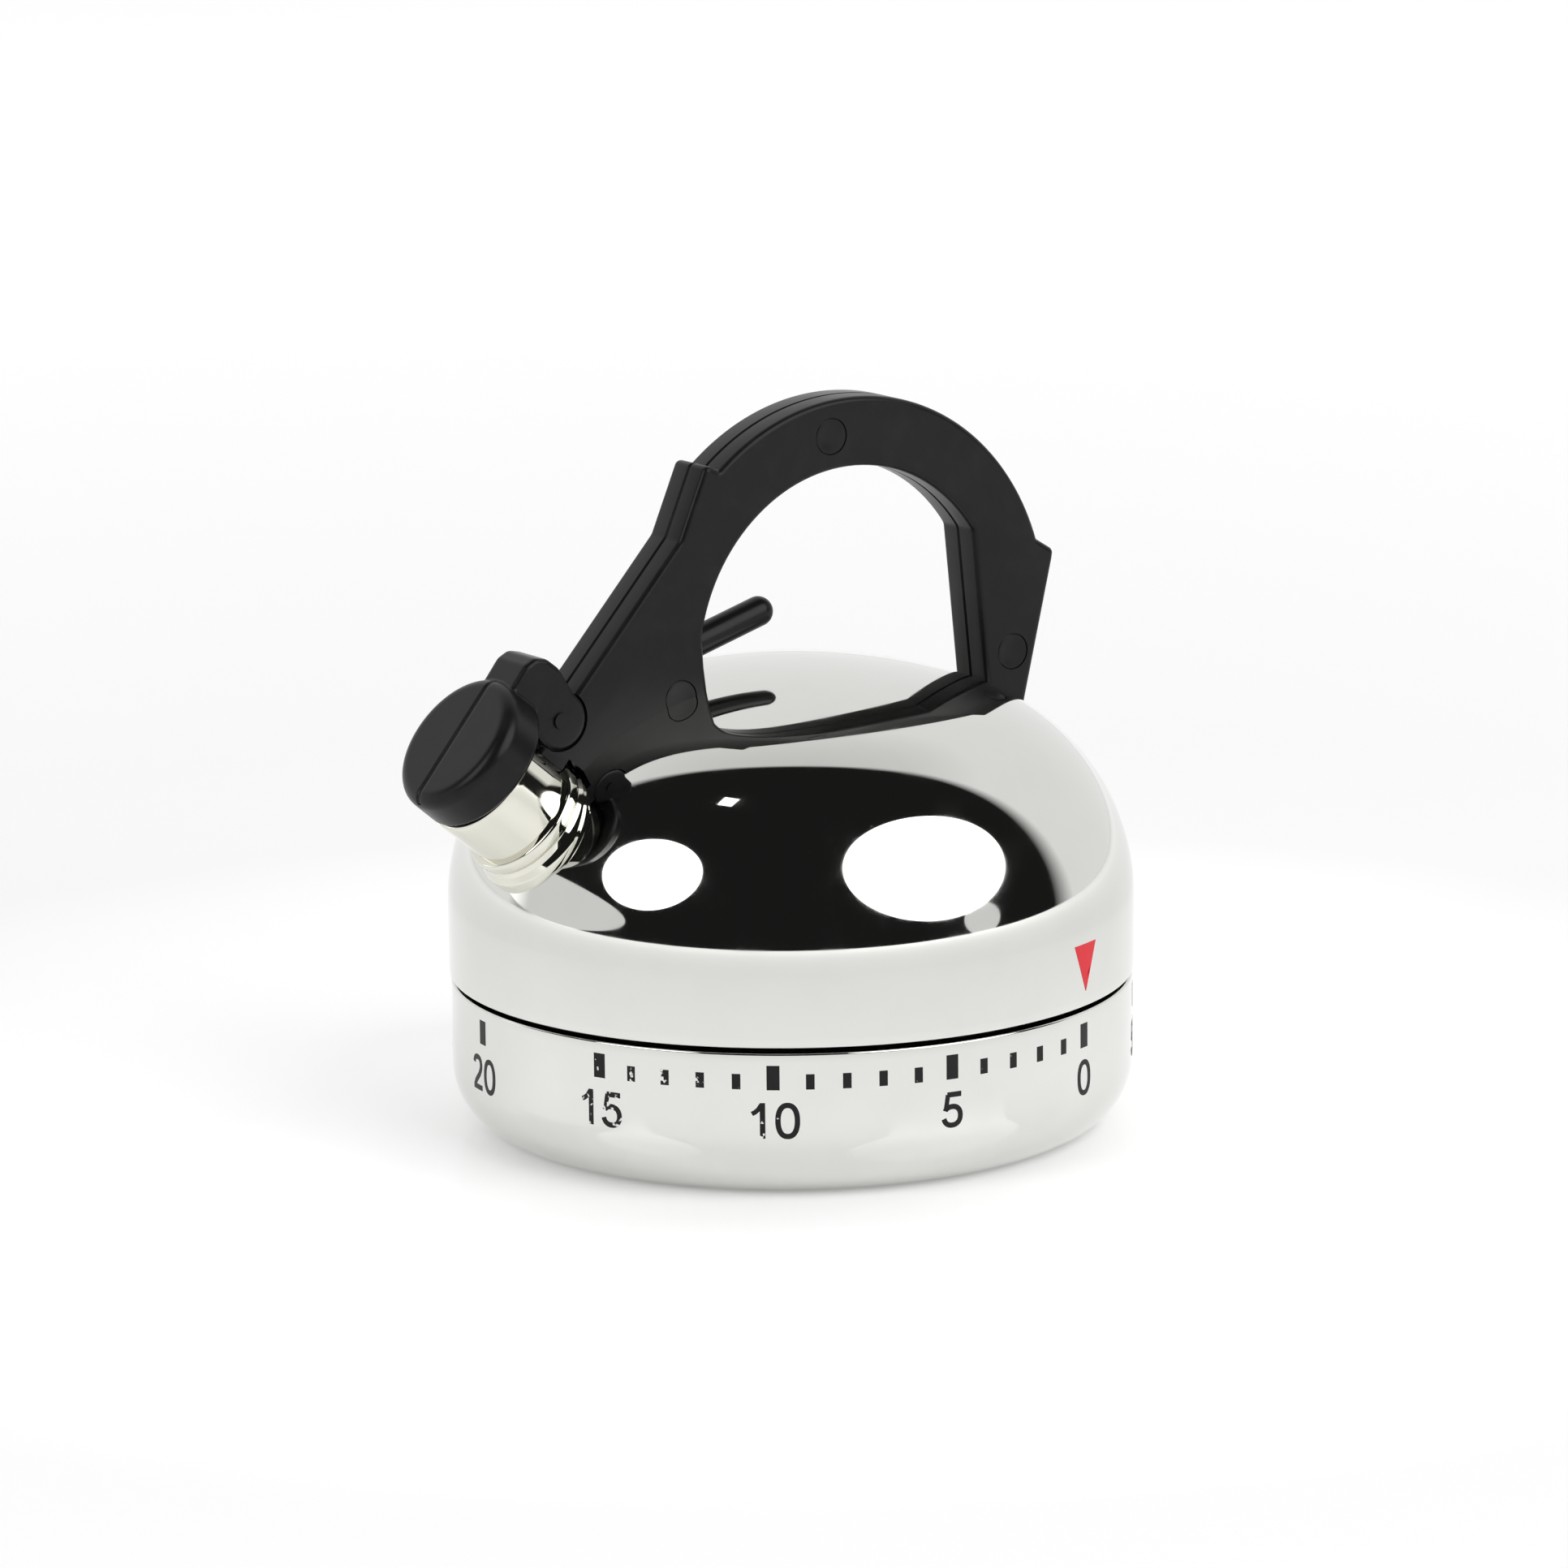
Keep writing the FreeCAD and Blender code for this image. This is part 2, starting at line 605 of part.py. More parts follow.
def make_cap():
    round_edge = d.cap_wall
    puck = turned("CapBody", [
        (ZERO, -d.cap_depth), (d.cap_radius, -d.cap_depth), (d.cap_radius, -round_edge),
        (d.cap_radius - round_edge, ZERO), (ZERO, ZERO)], {2: (round_edge, 1)})
    lay_on_spout(puck, ZERO, d.cap_lift)
    arm = plate_in_xz("CapArm", arm_corners(), d.handle_thick, half)
    cheeks = cylinder_along_y("CapCheeks", d.cheek_radius, d.handle_thick, pivot_x, pivot_z)
    bore = cylinder("CapBore", d.cap_bore, d.cap_depth - d.cap_wall + 1)
    lay_on_spout(bore, -(d.cap_depth + 1), d.cap_bore_lift)
    gap = d.tongue_thick + 2 * d.slot_play
    tongue_space = cylinder_along_y("CapTongueSpace", d.knuckle_radius + 0.7, gap, pivot_x, pivot_z)
    spout_space = cylinder("CapSpoutSpace", d.spout_radius + 0.2, Size(12))
    lay_on_spout(spout_space, -(d.cap_depth + 12))
    heads = [pin_head("CapHeadSpace" + str(side), side) for side in (-1, 1)]
    hole = cylinder_along_y("CapPinHole", d.pivot_radius, d.handle_thick, pivot_x, pivot_z)
    solid = join("CapSolid", puck, arm, cheeks)
    cap = cut("WhistleCap", solid, bore, tongue_space, spout_space, hole, *heads)
    node(cap, "whistle_cap")

    pin = cylinder_along_y("PivotPinCore", d.pivot_radius, d.handle_thick, pivot_x, pivot_z)
    pin_heads = [pin_head("PivotHead" + str(side), side) for side in (-1, 1)]
    node(join("PivotPin", pin, *pin_heads), "pivot_pin")

    make_lever()


def pin_head(name, side):
    head = cylinder_along_y(name, d.pivot_radius * 2.1, Size(0.4), pivot_x, pivot_z)
    return place(head, pivot_x, half - 0.4 if side > 0 else -half, pivot_z)


def make_lever():
    hub = cylinder_along_y("LeverHub", d.knuckle_radius - 0.1, d.lever_thick, pivot_x, pivot_z)
    bar_length = Size(14)
    bar = block("LeverBar", (ZERO, ZERO, ZERO), (bar_length, d.lever_thick, d.rod_radius * 2))
    rod = cylinder("LeverRod", d.rod_radius, d.rod_reach - bar_length - d.rod_radius)
    tip = doc.addObject("Part::Sphere", "LeverTip")
    bind(tip, "Radius", d.rod_radius)
    slope = d.rod_slope
    for thing, along, across, turn in ((bar, ZERO, -d.rod_radius, 0), (rod, bar_length, ZERO, 90),
                                       (tip, d.rod_reach - d.rod_radius, ZERO, 0)):
        thing.Placement = Placement(Vector(), Rotation(Vector(0, 1, 0), turn - slope.value))
        x = pivot_x + along * cosine(slope) - across * sine(slope)
        z = pivot_z + along * sine(slope) + across * cosine(slope)
        place(thing, x, -(d.lever_thick / 2) if thing is bar else ZERO, z)
    hole = cylinder_along_y("LeverHole", d.pivot_radius, Size(5), pivot_x, pivot_z)
    node(cut("TriggerLever", join("LeverSolid", hub, bar, rod, tip), hole), "trigger_lever")


# ---------------------------------------------------------------- gears

PRESSURE = math.radians(25)
ADDENDUM = 0.85
DEDENDUM = 1.05
THINNING = 0.05


def involute(angle):
    return math.tan(angle) - angle


def gear_shape(module, teeth, thickness, bore, phase):
    """An involute spur gear standing on Z = 0 with a tooth centred at phase, in degrees."""
    pitch = module * teeth / 2
    base = pitch * math.cos(PRESSURE)
    tip = pitch + ADDENDUM * module
    foot = pitch - DEDENDUM * module
    start = max(base, foot)
    half_angle = math.pi / (2 * teeth) - THINNING / (2 * pitch) + involute(PRESSURE)

    def flank(radius):
        return half_angle - involute(math.acos(min(1.0, base / radius)))

    def spot(radius, angle):
        return Vector(radius * math.cos(angle), radius * math.sin(angle), 0)

    edges = []
    step = 2 * math.pi / teeth
    middle = (start + tip) / 2
    for tooth in range(teeth):
        centre = math.radians(phase) + tooth * step
        if foot < start:
            rise = centre - flank(start)
            edges.append(Part.LineSegment(spot(foot, rise), spot(start, rise)))
        edges.append(Part.Arc(spot(start, centre - flank(start)), spot(middle, centre - flank(middle)),
                              spot(tip, centre - flank(tip))))
        edges.append(Part.Arc(spot(tip, centre - flank(tip)), spot(tip, centre),
                              spot(tip, centre + flank(tip))))
        edges.append(Part.Arc(spot(tip, centre + flank(tip)), spot(middle, centre + flank(middle)),
                              spot(start, centre + flank(start))))
        if foot < start:
            fall = centre + flank(start)
            edges.append(Part.LineSegment(spot(start, fall), spot(foot, fall)))
        edges.append(Part.Arc(spot(foot, centre + flank(start)), spot(foot, centre + step / 2),
                              spot(foot, centre + step - flank(start))))
    face = Part.Face(Part.Wire([edge.toShape() for edge in edges]))
    return face.extrude(Vector(0, 0, thickness)).cut(Part.makeCylinder(bore, thickness))


def saw_wheel(teeth, tip, foot, thickness, bore, phase):
    """A wheel with slanted pointed teeth."""
    points = []
    for tooth in range(teeth):
        angle = math.radians(phase + 360 * tooth / teeth)
        back = angle + math.radians(300 / teeth)
        points.append(Vector(tip * math.cos(angle), tip * math.sin(angle), 0))
        points.append(Vector(foot * math.cos(back), foot * math.sin(back), 0))
    face = Part.Face(Part.makePolygon(points + points[:1]))
    return face.extrude(Vector(0, 0, thickness)).cut(Part.makeCylinder(bore, thickness))


def gear_node(label, shape, x, y, z):
    tag = label.title().replace("_", "")
    where = Vector(as_size(x).value, as_size(y).value, as_size(z).value)
    gear = feature(tag, shape, Placement(where, Rotation()))
    return node(gear, label)


# ---------------------------------------------------------------- movement

WHEELS = 40
MAIN_TEETH = 50
LEAVES = 10
CENTRE_PLAY = 0.02
SECOND_TURN = 90
THIRD_TURN = 200
ESCAPE_TURN = 235
HAMMER_PLACE = (9.0, -14.0)


def centre_distance(module, wheel):
    return module * (wheel + LEAVES) / 2 + CENTRE_PLAY


second_place = on_circle(centre_distance(d.main_module, MAIN_TEETH), SECOND_TURN)
third_place = on_circle(centre_distance(d.second_module, WHEELS), THIRD_TURN, *second_place)
escape_place = on_circle(centre_distance(d.third_module, WHEELS), ESCAPE_TURN, *third_place)
ESCAPE_TIP = 4.6
BALANCE_GAP = 6.3
balance_place = on_circle(Size(BALANCE_GAP), 270, *escape_place)
floor_z = d.plate_low + d.plate_thick
main_z = floor_z + 1.0
second_z = main_z + 2.2
third_z = second_z + 2.2
escape_z = third_z + 2.2
balance_z = escape_z + 1.6


def make_plates():
    bores = [(ZERO, ZERO, d.arbor_radius), (*second_place, d.staff_radius), (*third_place, d.staff_radius),
             (*escape_place, d.staff_radius), (*balance_place, d.staff_radius),
             (Size(HAMMER_PLACE[0]), Size(HAMMER_PLACE[1]), d.staff_radius + 0.2)]
    for label, z in (("lower_plate", d.plate_low), ("upper_plate", d.plate_high)):
        tag = label.title().replace("_", "")
        disc = cylinder(tag + "Disc", d.plate_radius, d.plate_thick, ZERO, ZERO, z)
        holes = [cylinder(tag + "Bore" + str(number), radius + d.shaft_play, d.plate_thick, x, y, z)
                 for number, (x, y, radius) in enumerate(bores)]
        for number in range(3):
            x, y = on_circle(d.pillar_ring, PILLAR_TURN + 120 * number)
            holes.append(cylinder(tag + "ScrewHole" + str(number), d.screw_radius, d.plate_thick, x, y, z))
        node(cut(tag, disc, *holes), label)


def make_pillars():
    pillars = []
    screws = []
    nuts = []
    screw_top = d.plate_low + 6
    stud = d.plate_high + d.plate_thick + 1.4
    for number in range(3):
        tag = str(number)
        x, y = on_circle(d.pillar_ring, PILLAR_TURN + 120 * number)
        post = cylinder("PillarPost" + tag, d.pillar_radius, d.plate_high - floor_z, x, y, floor_z)
        end = cylinder("PillarStud" + tag, d.screw_radius, stud - d.plate_high, x, y, d.plate_high)
        hole = cylinder("PillarHole" + tag, d.screw_radius, screw_top - floor_z, x, y, floor_z)
        pillars.append(cut("Pillar" + tag, join("PillarSolid" + tag, post, end), hole))
        head = cylinder("ScrewHead" + tag, d.screw_radius * 2, d.cover_thick - 0.3, x, y, Size(0.3))
        shank = cylinder("ScrewShank" + tag, d.screw_radius, screw_top - d.cover_thick, x, y, d.cover_thick)
        screws.append(join("Screw" + tag, head, shank))
        ring = cylinder("NutRing" + tag, d.pillar_radius, Size(1.2), x, y, d.plate_high + d.plate_thick)
        bore = cylinder("NutBore" + tag, d.screw_radius, Size(1.2), x, y, d.plate_high + d.plate_thick)
        nuts.append(cut("Nut" + tag, ring, bore))
    node(group("Pillars", *pillars), "pillars")
    node(group("CaseScrews", *screws), "case_screws")
    node(group("PlateNuts", *nuts), "plate_nuts")


def make_staff(label, place_xy):
    x, y = place_xy
    height = d.plate_high - d.plate_low + d.plate_thick
    node(cylinder(label.title().replace("_", ""), d.staff_radius, height, x, y, d.plate_low), label)


def make_train():
    thick = d.wheel_thick.value
    staff = d.staff_radius.value
    main, second, third = d.main_module.value, d.second_module.value, d.third_module.value
    leaf = thick + 0.6
    gear_node("main_wheel", gear_shape(main, MAIN_TEETH, thick, d.arbor_radius.value, SECOND_TURN),
              ZERO, ZERO, main_z)
    make_staff("second_arbor", second_place)
    gear_node("second_pinion", gear_shape(main, LEAVES, leaf, staff, SECOND_TURN + 180 + 180 / LEAVES),
              *second_place, main_z - 0.3)
    gear_node("second_wheel", gear_shape(second, WHEELS, thick, staff, THIRD_TURN), *second_place, second_z)
    make_staff("third_arbor", third_place)
    gear_node("third_pinion", gear_shape(second, LEAVES, leaf, staff, THIRD_TURN + 180 + 180 / LEAVES),
              *third_place, second_z - 0.3)
    gear_node("third_wheel", gear_shape(third, WHEELS, thick, staff, ESCAPE_TURN), *third_place, third_z)
    make_staff("escape_arbor", escape_place)
    gear_node("escape_pinion", gear_shape(third, LEAVES, leaf, staff, ESCAPE_TURN + 180 + 180 / LEAVES),
              *escape_place, third_z - 0.3)
    saw = saw_wheel(20, ESCAPE_TIP, ESCAPE_TIP - 0.8, 0.6, staff, 0)
    gear_node("escape_wheel", saw, *escape_place, escape_z)


def make_balance():
    x, y = balance_place
    make_staff("balance_staff", balance_place)
    staff = d.staff_radius
    reach = Size(4.4)
    bar = block("BalanceArm", (x - reach, y - 0.5, balance_z), (reach * 2, Size(1), Size(0.7)))
    weight = Size(0.9)
    ends = [cylinder("BalanceWeight" + str(side), weight, weight, x + side * (reach - weight), y, balance_z)
            for side in (-1, 1)]
    boss = cylinder("BalanceBoss", staff + 0.7, Size(0.9), x, y, balance_z)
    hole = cylinder("BalanceHole", staff, Size(2), x, y, balance_z)
    node(cut("BalanceBar", join("BalanceSolid", bar, boss, *ends), hole), "balance_bar")

    ex, ey = escape_place
    outer = cylinder("PalletOuter", Size(ESCAPE_TIP + 1.1), Size(0.6), ex, ey, escape_z)
    inner = cylinder("PalletInner", Size(ESCAPE_TIP + 0.45), Size(0.6), ex, ey, escape_z)
    window = block("PalletWindow", (x - 2.4, y, escape_z), (Size(4.8), Size(3), Size(0.6)))
    hub = cylinder("PalletHub", staff + 0.6, Size(0.6), x, y, escape_z)
    crescent = common("PalletCrescent", cut("PalletArc", outer, inner), window)
    pallet_hole = cylinder("PalletHole", staff, Size(0.6), x, y, escape_z)
    trimmed = cut("PalletTrim", join("PalletSolid", crescent, hub), inner_copy(ex, ey))
    node(cut("Pallets", trimmed, pallet_hole), "pallets")


def inner_copy(x, y):
    return cylinder("PalletClear", Size(ESCAPE_TIP + 0.45), Size(0.6), x, y, escape_z)


def make_centre():
    """The main arbor and what turns with it, the mainspring and the stop."""
    arbor_low = d.plate_low + 0.1
    hub_low = d.dome_height - d.dome_wall - d.hub_drop
    length = hub_low + (d.hub_drop - 3.5) - arbor_low
    node(cylinder("MainArbor", d.arbor_radius, length, ZERO, ZERO, arbor_low), "main_arbor")
    bore = d.arbor_radius.value
    ratchet_z = main_z + d.wheel_thick + 0.1
    gear_node("ratchet_wheel", saw_wheel(24, 4.0, 3.4, 0.8, bore, 0), ZERO, ZERO, ratchet_z)
    washer = cylinder("ClickDisc", Size(3.4), Size(0.3), ZERO, ZERO, ratchet_z + 0.9)
    washer_hole = cylinder("ClickHole", d.arbor_radius, Size(0.3), ZERO, ZERO, ratchet_z + 0.9)
    node(cut("ClickSpring", washer, washer_hole), "click_spring")

    collet_z = ratchet_z + 1.8
    spring_high = Size(4.6)
    collet = cylinder("ColletDisc", d.arbor_radius + 0.9, spring_high, ZERO, ZERO, collet_z)
    collet_hole = cylinder("ColletHole", d.arbor_radius, spring_high, ZERO, ZERO, collet_z)
    node(cut("SpringCollet", collet, collet_hole), "spring_collet")
    inner = d.arbor_radius.value + 1.25
    gear_node("mainspring", spiral_strip(inner, 7.0, 5, 0.3, spring_high.value), ZERO, ZERO, collet_z)
    post_x, post_y = on_circle(Size(7.0 + 0.15 + 0.6), 0)
    node(cylinder("SpringPost", Size(0.6), d.plate_high - collet_z, post_x, post_y, collet_z), "spring_post")

    deck = d.plate_high + d.plate_thick
    post_r = Size(9.0)
    stop_x, stop_y = on_circle(post_r, STOP_TURN)
    node(cylinder("StopPost", Size(0.5), Size(1.8), stop_x, stop_y, deck), "stop_post")
    make_stop_arm(deck + 0.5)
    make_alarm_cam(deck + 2.2)


STOP_TURN = 40
STOP_CLEAR = 6.8


def make_stop_arm(z):
    hub = Part.makeCylinder(d.arbor_radius.value + 1.2, 1.0)
    arm = Part.makeBox(9.8, 1.0, 1.0, Vector(0, -0.5, 0))
    arm.rotate(Vector(), Vector(0, 0, 1), STOP_TURN - STOP_CLEAR)
    shape = hub.fuse(arm).cut(Part.makeCylinder(d.arbor_radius.value, 1.0))
    gear_node("stop_arm", shape, ZERO, ZERO, z)


def make_alarm_cam(z):
    disc = Part.makeCylinder(6.0, 1.0).cut(Part.makeCylinder(d.arbor_radius.value, 1.0))
    notch = Part.makeBox(2.0, 1.6, 1.0, Vector(4.6, -0.8, 0))
    notch.rotate(Vector(), Vector(0, 0, 1), math.degrees(math.atan2(HAMMER_PLACE[1], HAMMER_PLACE[0])))
    gear_node("alarm_cam", disc.cut(notch), ZERO, ZERO, z)


def spiral_strip(inner, outer, turns, thickness, height):
    """A flat spiral strip of metal, cut square at both ends."""
    count = 24 * turns

    def line(offset):
        points = []
        for number in range(count + 1):
            angle = 2 * math.pi * turns * number / count
            radius = inner + (outer - inner) * number / count + offset
            points.append(Vector(radius * math.cos(angle), radius * math.sin(angle), 0))
        curve = Part.BSplineCurve()
        curve.interpolate(points)
        return curve, points

    inside, low = line(-thickness / 2)
    outside, high = line(thickness / 2)
    edges = [inside.toShape(), Part.LineSegment(low[-1], high[-1]).toShape(),
             outside.toShape(), Part.LineSegment(high[0], low[0]).toShape()]
    return Part.Face(Part.Wire(Part.__sortEdges__(edges))).extrude(Vector(0, 0, height))


def make_bell():
    top = d.plate_low - 0.6
    wall = d.bell_wall
    bell = turned("Bell", [
        (d.screw_radius, d.bell_low), (d.bell_radius - 2, d.bell_low), (d.bell_radius, d.bell_low + 2),
        (d.bell_radius, top), (d.bell_radius - wall, top), (d.bell_radius - wall, d.bell_low + 2),
        (d.bell_radius - 2, d.bell_low + wall), (d.screw_radius, d.bell_low + wall)],
        {1: (Size(2), 1), 5: (2 - wall, -1)})
    node(bell, "bell")
    post_low = d.bell_low + wall
    post = cylinder("BellPostRod", Size(2.2), d.plate_low - post_low, ZERO, ZERO, post_low)
    hole = cylinder("BellPostHole", d.screw_radius, Size(2), ZERO, ZERO, post_low)
    node(cut("BellPost", post, hole), "bell_post")
    head = cylinder("BellScrewHead", d.screw_radius * 1.8, Size(0.5), ZERO, ZERO, d.bell_low - 0.5)
    shank = cylinder("BellScrewShank", d.screw_radius, wall + 2, ZERO, ZERO, d.bell_low)
    node(join("BellScrew", head, shank), "bell_screw")


def make_hammer():
    x, y = (Size(value) for value in HAMMER_PLACE)
    rod = d.staff_radius + 0.2
    low = d.bell_low + d.bell_wall + 0.5
    cam_z = d.plate_high + d.plate_thick + 2.2
    node(cylinder("HammerArbor", rod, cam_z + 1.2 - low, x, y, low), "hammer_arbor")

    reach = d.bell_radius - d.bell_wall - 0.35 - HAMMER_HEAD
    head_x, head_y = on_circle(reach, -110)
    span = Vector(head_x.value - x.value, head_y.value - y.value, 0)
    arm = Part.makeBox(span.Length, 1.2, 1.0, Vector(0, -0.6, 0))
    arm.rotate(Vector(), Vector(0, 0, 1), math.degrees(math.atan2(span.y, span.x)))
    hub = Part.makeCylinder(rod.value + 0.9, 1.0)
    head = Part.makeCylinder(HAMMER_HEAD, 1.0, span)
    hammer = hub.fuse([arm, head]).cut(Part.makeCylinder(rod.value, 1.0))
    gear_node("hammer_arm", hammer, x, y, low + 0.2)

    away = math.hypot(*HAMMER_PLACE) - 6.0 - 0.5
    finger = Part.makeBox(away, 1.2, 1.0, Vector(0, -0.6, 0))
    finger.rotate(Vector(), Vector(0, 0, 1), math.degrees(math.atan2(-HAMMER_PLACE[1], -HAMMER_PLACE[0])))
    release = Part.makeCylinder(rod.value + 0.9, 1.0).fuse(finger).cut(Part.makeCylinder(rod.value, 1.0))
    gear_node("release_arm", release, x, y, cam_z)


HAMMER_HEAD = 1.2


# ---------------------------------------------------------------- build and write


def check_document():
    for thing in doc.Objects:
        if "Invalid" in thing.State or "Error" in thing.State:
            raise RuntimeError(thing.Name + " failed: " + ", ".join(thing.State))
    for thing in NODES:
        shape = thing.Shape
        if shape.isNull() or not shape.isValid() or not shape.Solids:
            raise RuntimeError(thing.Label + " has no valid solid")


def write_parts():
    os.makedirs("parts", exist_ok=True)
    for thing in NODES:
        thing.Shape.exportStep(os.path.join("parts", thing.Label + ".step"))


make_base()
make_dome()
make_handle()
make_spout()
make_cap()
make_plates()
make_pillars()
make_train()
make_balance()
make_centre()
make_bell()
make_hammer()
doc.recompute()
check_document()
write_parts()
print(len(NODES), "pieces written")
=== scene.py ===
import math

import bmesh
import bpy
from mathutils import Matrix, Vector


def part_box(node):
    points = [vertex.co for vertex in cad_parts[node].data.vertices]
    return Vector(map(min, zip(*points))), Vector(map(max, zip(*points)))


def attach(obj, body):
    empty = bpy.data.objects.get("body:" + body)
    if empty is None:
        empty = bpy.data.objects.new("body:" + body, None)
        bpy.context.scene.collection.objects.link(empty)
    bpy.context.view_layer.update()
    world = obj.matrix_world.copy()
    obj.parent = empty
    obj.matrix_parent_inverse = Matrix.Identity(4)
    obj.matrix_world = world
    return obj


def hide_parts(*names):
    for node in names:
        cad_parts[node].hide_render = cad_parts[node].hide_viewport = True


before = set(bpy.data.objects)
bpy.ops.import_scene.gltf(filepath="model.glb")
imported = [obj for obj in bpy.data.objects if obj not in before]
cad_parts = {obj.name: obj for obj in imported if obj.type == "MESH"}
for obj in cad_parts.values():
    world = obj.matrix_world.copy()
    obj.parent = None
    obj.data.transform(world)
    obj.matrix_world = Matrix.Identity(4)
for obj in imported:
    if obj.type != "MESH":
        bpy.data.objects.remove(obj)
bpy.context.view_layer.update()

# Lengths are in millimetres, in the frame of the CAD part, until a mesh is made.
MM = 0.001

DOME_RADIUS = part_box("dome_shell")[1].x / MM
DOME_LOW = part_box("dome_shell")[0].z / MM
DOME_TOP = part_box("dome_shell")[1].z / MM
DOME_STRAIGHT = 7.05
DOME_WALL = 1.0
SHOULDER_RADIUS = 21.54
RING_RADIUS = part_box("base_ring")[1].x / MM
RING_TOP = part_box("base_ring")[1].z / MM
RING_WALL = 1.3
RING_CURL = 6.3
FOOT_RADIUS = 28.8
FOOT_HOLE = 25.8
FOOT_THICK = 1.4

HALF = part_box("handle_far")[1].y / MM
ARCH = (5.75, 47.9, 24.1)
GRIP = (5.75, 47.1, 18.0)
LEDGE_X = 11.3
LEDGE_RISE = 0.9
BEND = (-14.45, 60.0)
REAR_FOOT = 24.6
TAB_X = 19.5
FOOT_LOW = 36
FRONT_FOOT_LOW = 34
FRONT_LEG_LOW = 41
PIN_RADIUS = 1.85
PIN_SUNK = 0.16
REAR_PIN_Z = 44.2
FRONT_MARK = (-14.7, 44.5)
HANDLE_EDGE = 0.55
HANDLE_SEAM = 0.22

SPOUT_TILT = math.radians(40)
SPOUT_FACE = (-40.2, 42.15)
SPOUT_RADIUS = 5.8
SPOUT_BORE = 3.3
SPOUT_LENGTH = 18.7
SPOUT_FIT = 0.03
NECK_RADIUS = 4.15
SPIGOT_RADIUS = 4.6
COLLAR_RADIUS = 6.45
COLLAR_START = 10.8
COLLAR_WIDTH = 1.5
COLLAR_FIT = 0.6
CAP_RADIUS = 7.25
CAP_LIFT = 1.5
CAP_DEPTH = 4.6
CAP_WALL = 1.25
CAP_BORE = 5.9
CAP_BORE_LIFT = 0.7
CAP_GRID = 0.14
PIVOT_BACK = 7.55
PIVOT_UP = 8.9
CHEEK_RADIUS = 2.85
CHEEK_PLAY = 0.2
KNUCKLE_RADIUS = 2.6
TONGUE_THICK = 4.0
LEVER_THICK = 2.0
SLOT_PLAY = 0.15
PIVOT_RADIUS = 0.8
ROD_RADIUS = 1.5
ROD_REACH = 27.6
ROD_START = 14.0
ROD_SLOPE = math.radians(16.2)
ROD_TRAVEL = math.radians(8)
SLOT_REACH = 23
MOUTH_START = 13.5

SCALE_ZERO = -68.23
MINUTE = 6.0
LONG_TICK = (1.25, 11.21, 13.61)
SHORT_TICK = (0.83, 11.26, 12.76)
DIGIT_FOOT = 6.45
DIGIT_HEIGHT = 3.5
POINTER_RISE = 1.6
POINTER_HEIGHT = 4.7
POINTER_WIDTH = 3.9
PRINT_RISE = 0.02
PRINT_SINK = 0.06
RUBBED_TURN = -147


# ---------------------------------------------------------------- shaders


class Value:
    """A shader value: arithmetic on it adds the nodes that work it out."""

    def __init__(self, shader, socket):
        self.shader = shader
        self.socket = socket

    def _math(self, operation, *values):
        return self.shader.add("ShaderNodeMath", {"operation": operation}, dict(enumerate(values)))

    def __add__(self, other):
        return self._math("ADD", self, other)

    def __sub__(self, other):
        return self._math("SUBTRACT", self, other)

    def __mul__(self, other):
        return self._math("MULTIPLY", self, other)

    def __truediv__(self, other):
        return self._math("DIVIDE", self, other)

    def __radd__(self, other):
        return self._math("ADD", other, self)

    def __rsub__(self, other):
        return self._math("SUBTRACT", other, self)

    def __rmul__(self, other):
        return self._math("MULTIPLY", other, self)


class Shader:
    """The node tree of one finish."""

    def __init__(self, tree):
        self.tree = tree

    def add(self, kind, settings=None, inputs=None, output=0):
        node = self.tree.nodes.new(kind)
        for name, value in (settings or {}).items():
            if name == "stops":
                ramp = node.color_ramp.elements
                while len(ramp) < len(value):
                    ramp.new(0.5)
                for stop, (place, level) in zip(ramp, value):
                    stop.position = place
                    stop.color = (level, level, level, 1)
            else:
                setattr(node, name, value)
        for name, value in (inputs or {}).items():
            if isinstance(value, Value):
                self.tree.links.new(value.socket, node.inputs[name])
            else:
                node.inputs[name].default_value = value
        return Value(self, node.outputs[output])

    def place(self):
        return self.add("ShaderNodeTexCoord", output="Object")

    def noise(self, size, detail=3.0, stretch=None):
        """Cloudy noise from 0 to 1, with patches of about size, in millimetres."""
        where = self.place()
        if stretch:
            where = self.add("ShaderNodeMapping", None, {"Vector": where, "Scale": stretch})
        return self.add("ShaderNodeTexNoise", None,
                        {"Vector": where, "Scale": 1 / (size * MM), "Detail": detail})

    def ramp(self, value, *stops):
        return self.add("ShaderNodeValToRGB", {"stops": stops}, {"Fac": value})

    def mix(self, mask, first, second):
        """A colour that goes from first to second as mask goes from 0 to 1."""
        return self.add("ShaderNodeMix", {"data_type": "RGBA"}, {0: mask, 6: first, 7: second}, 2)

    def bump(self, height, depth, strength=1.0):
        return self.add("ShaderNodeBump", None,
                        {"Height": height, "Distance": depth * MM, "Strength": strength})


def colour(red, green, blue):
    return (red, green, blue, 1)


def finish_named(name, fixed):
    """A new material: its shader, and its Principled node with the fixed values set."""
    material = bpy.data.materials.new(name)
    material.use_nodes = True
    surface = material.node_tree.nodes["Principled BSDF"]
    for socket, value in fixed.items():
        surface.inputs[socket].default_value = value
    return material, Shader(material.node_tree), surface


def drive(shader, surface, **values):
    for name, value in values.items():
        shader.tree.links.new(value.socket, surface.inputs[name.replace("_", " ")])


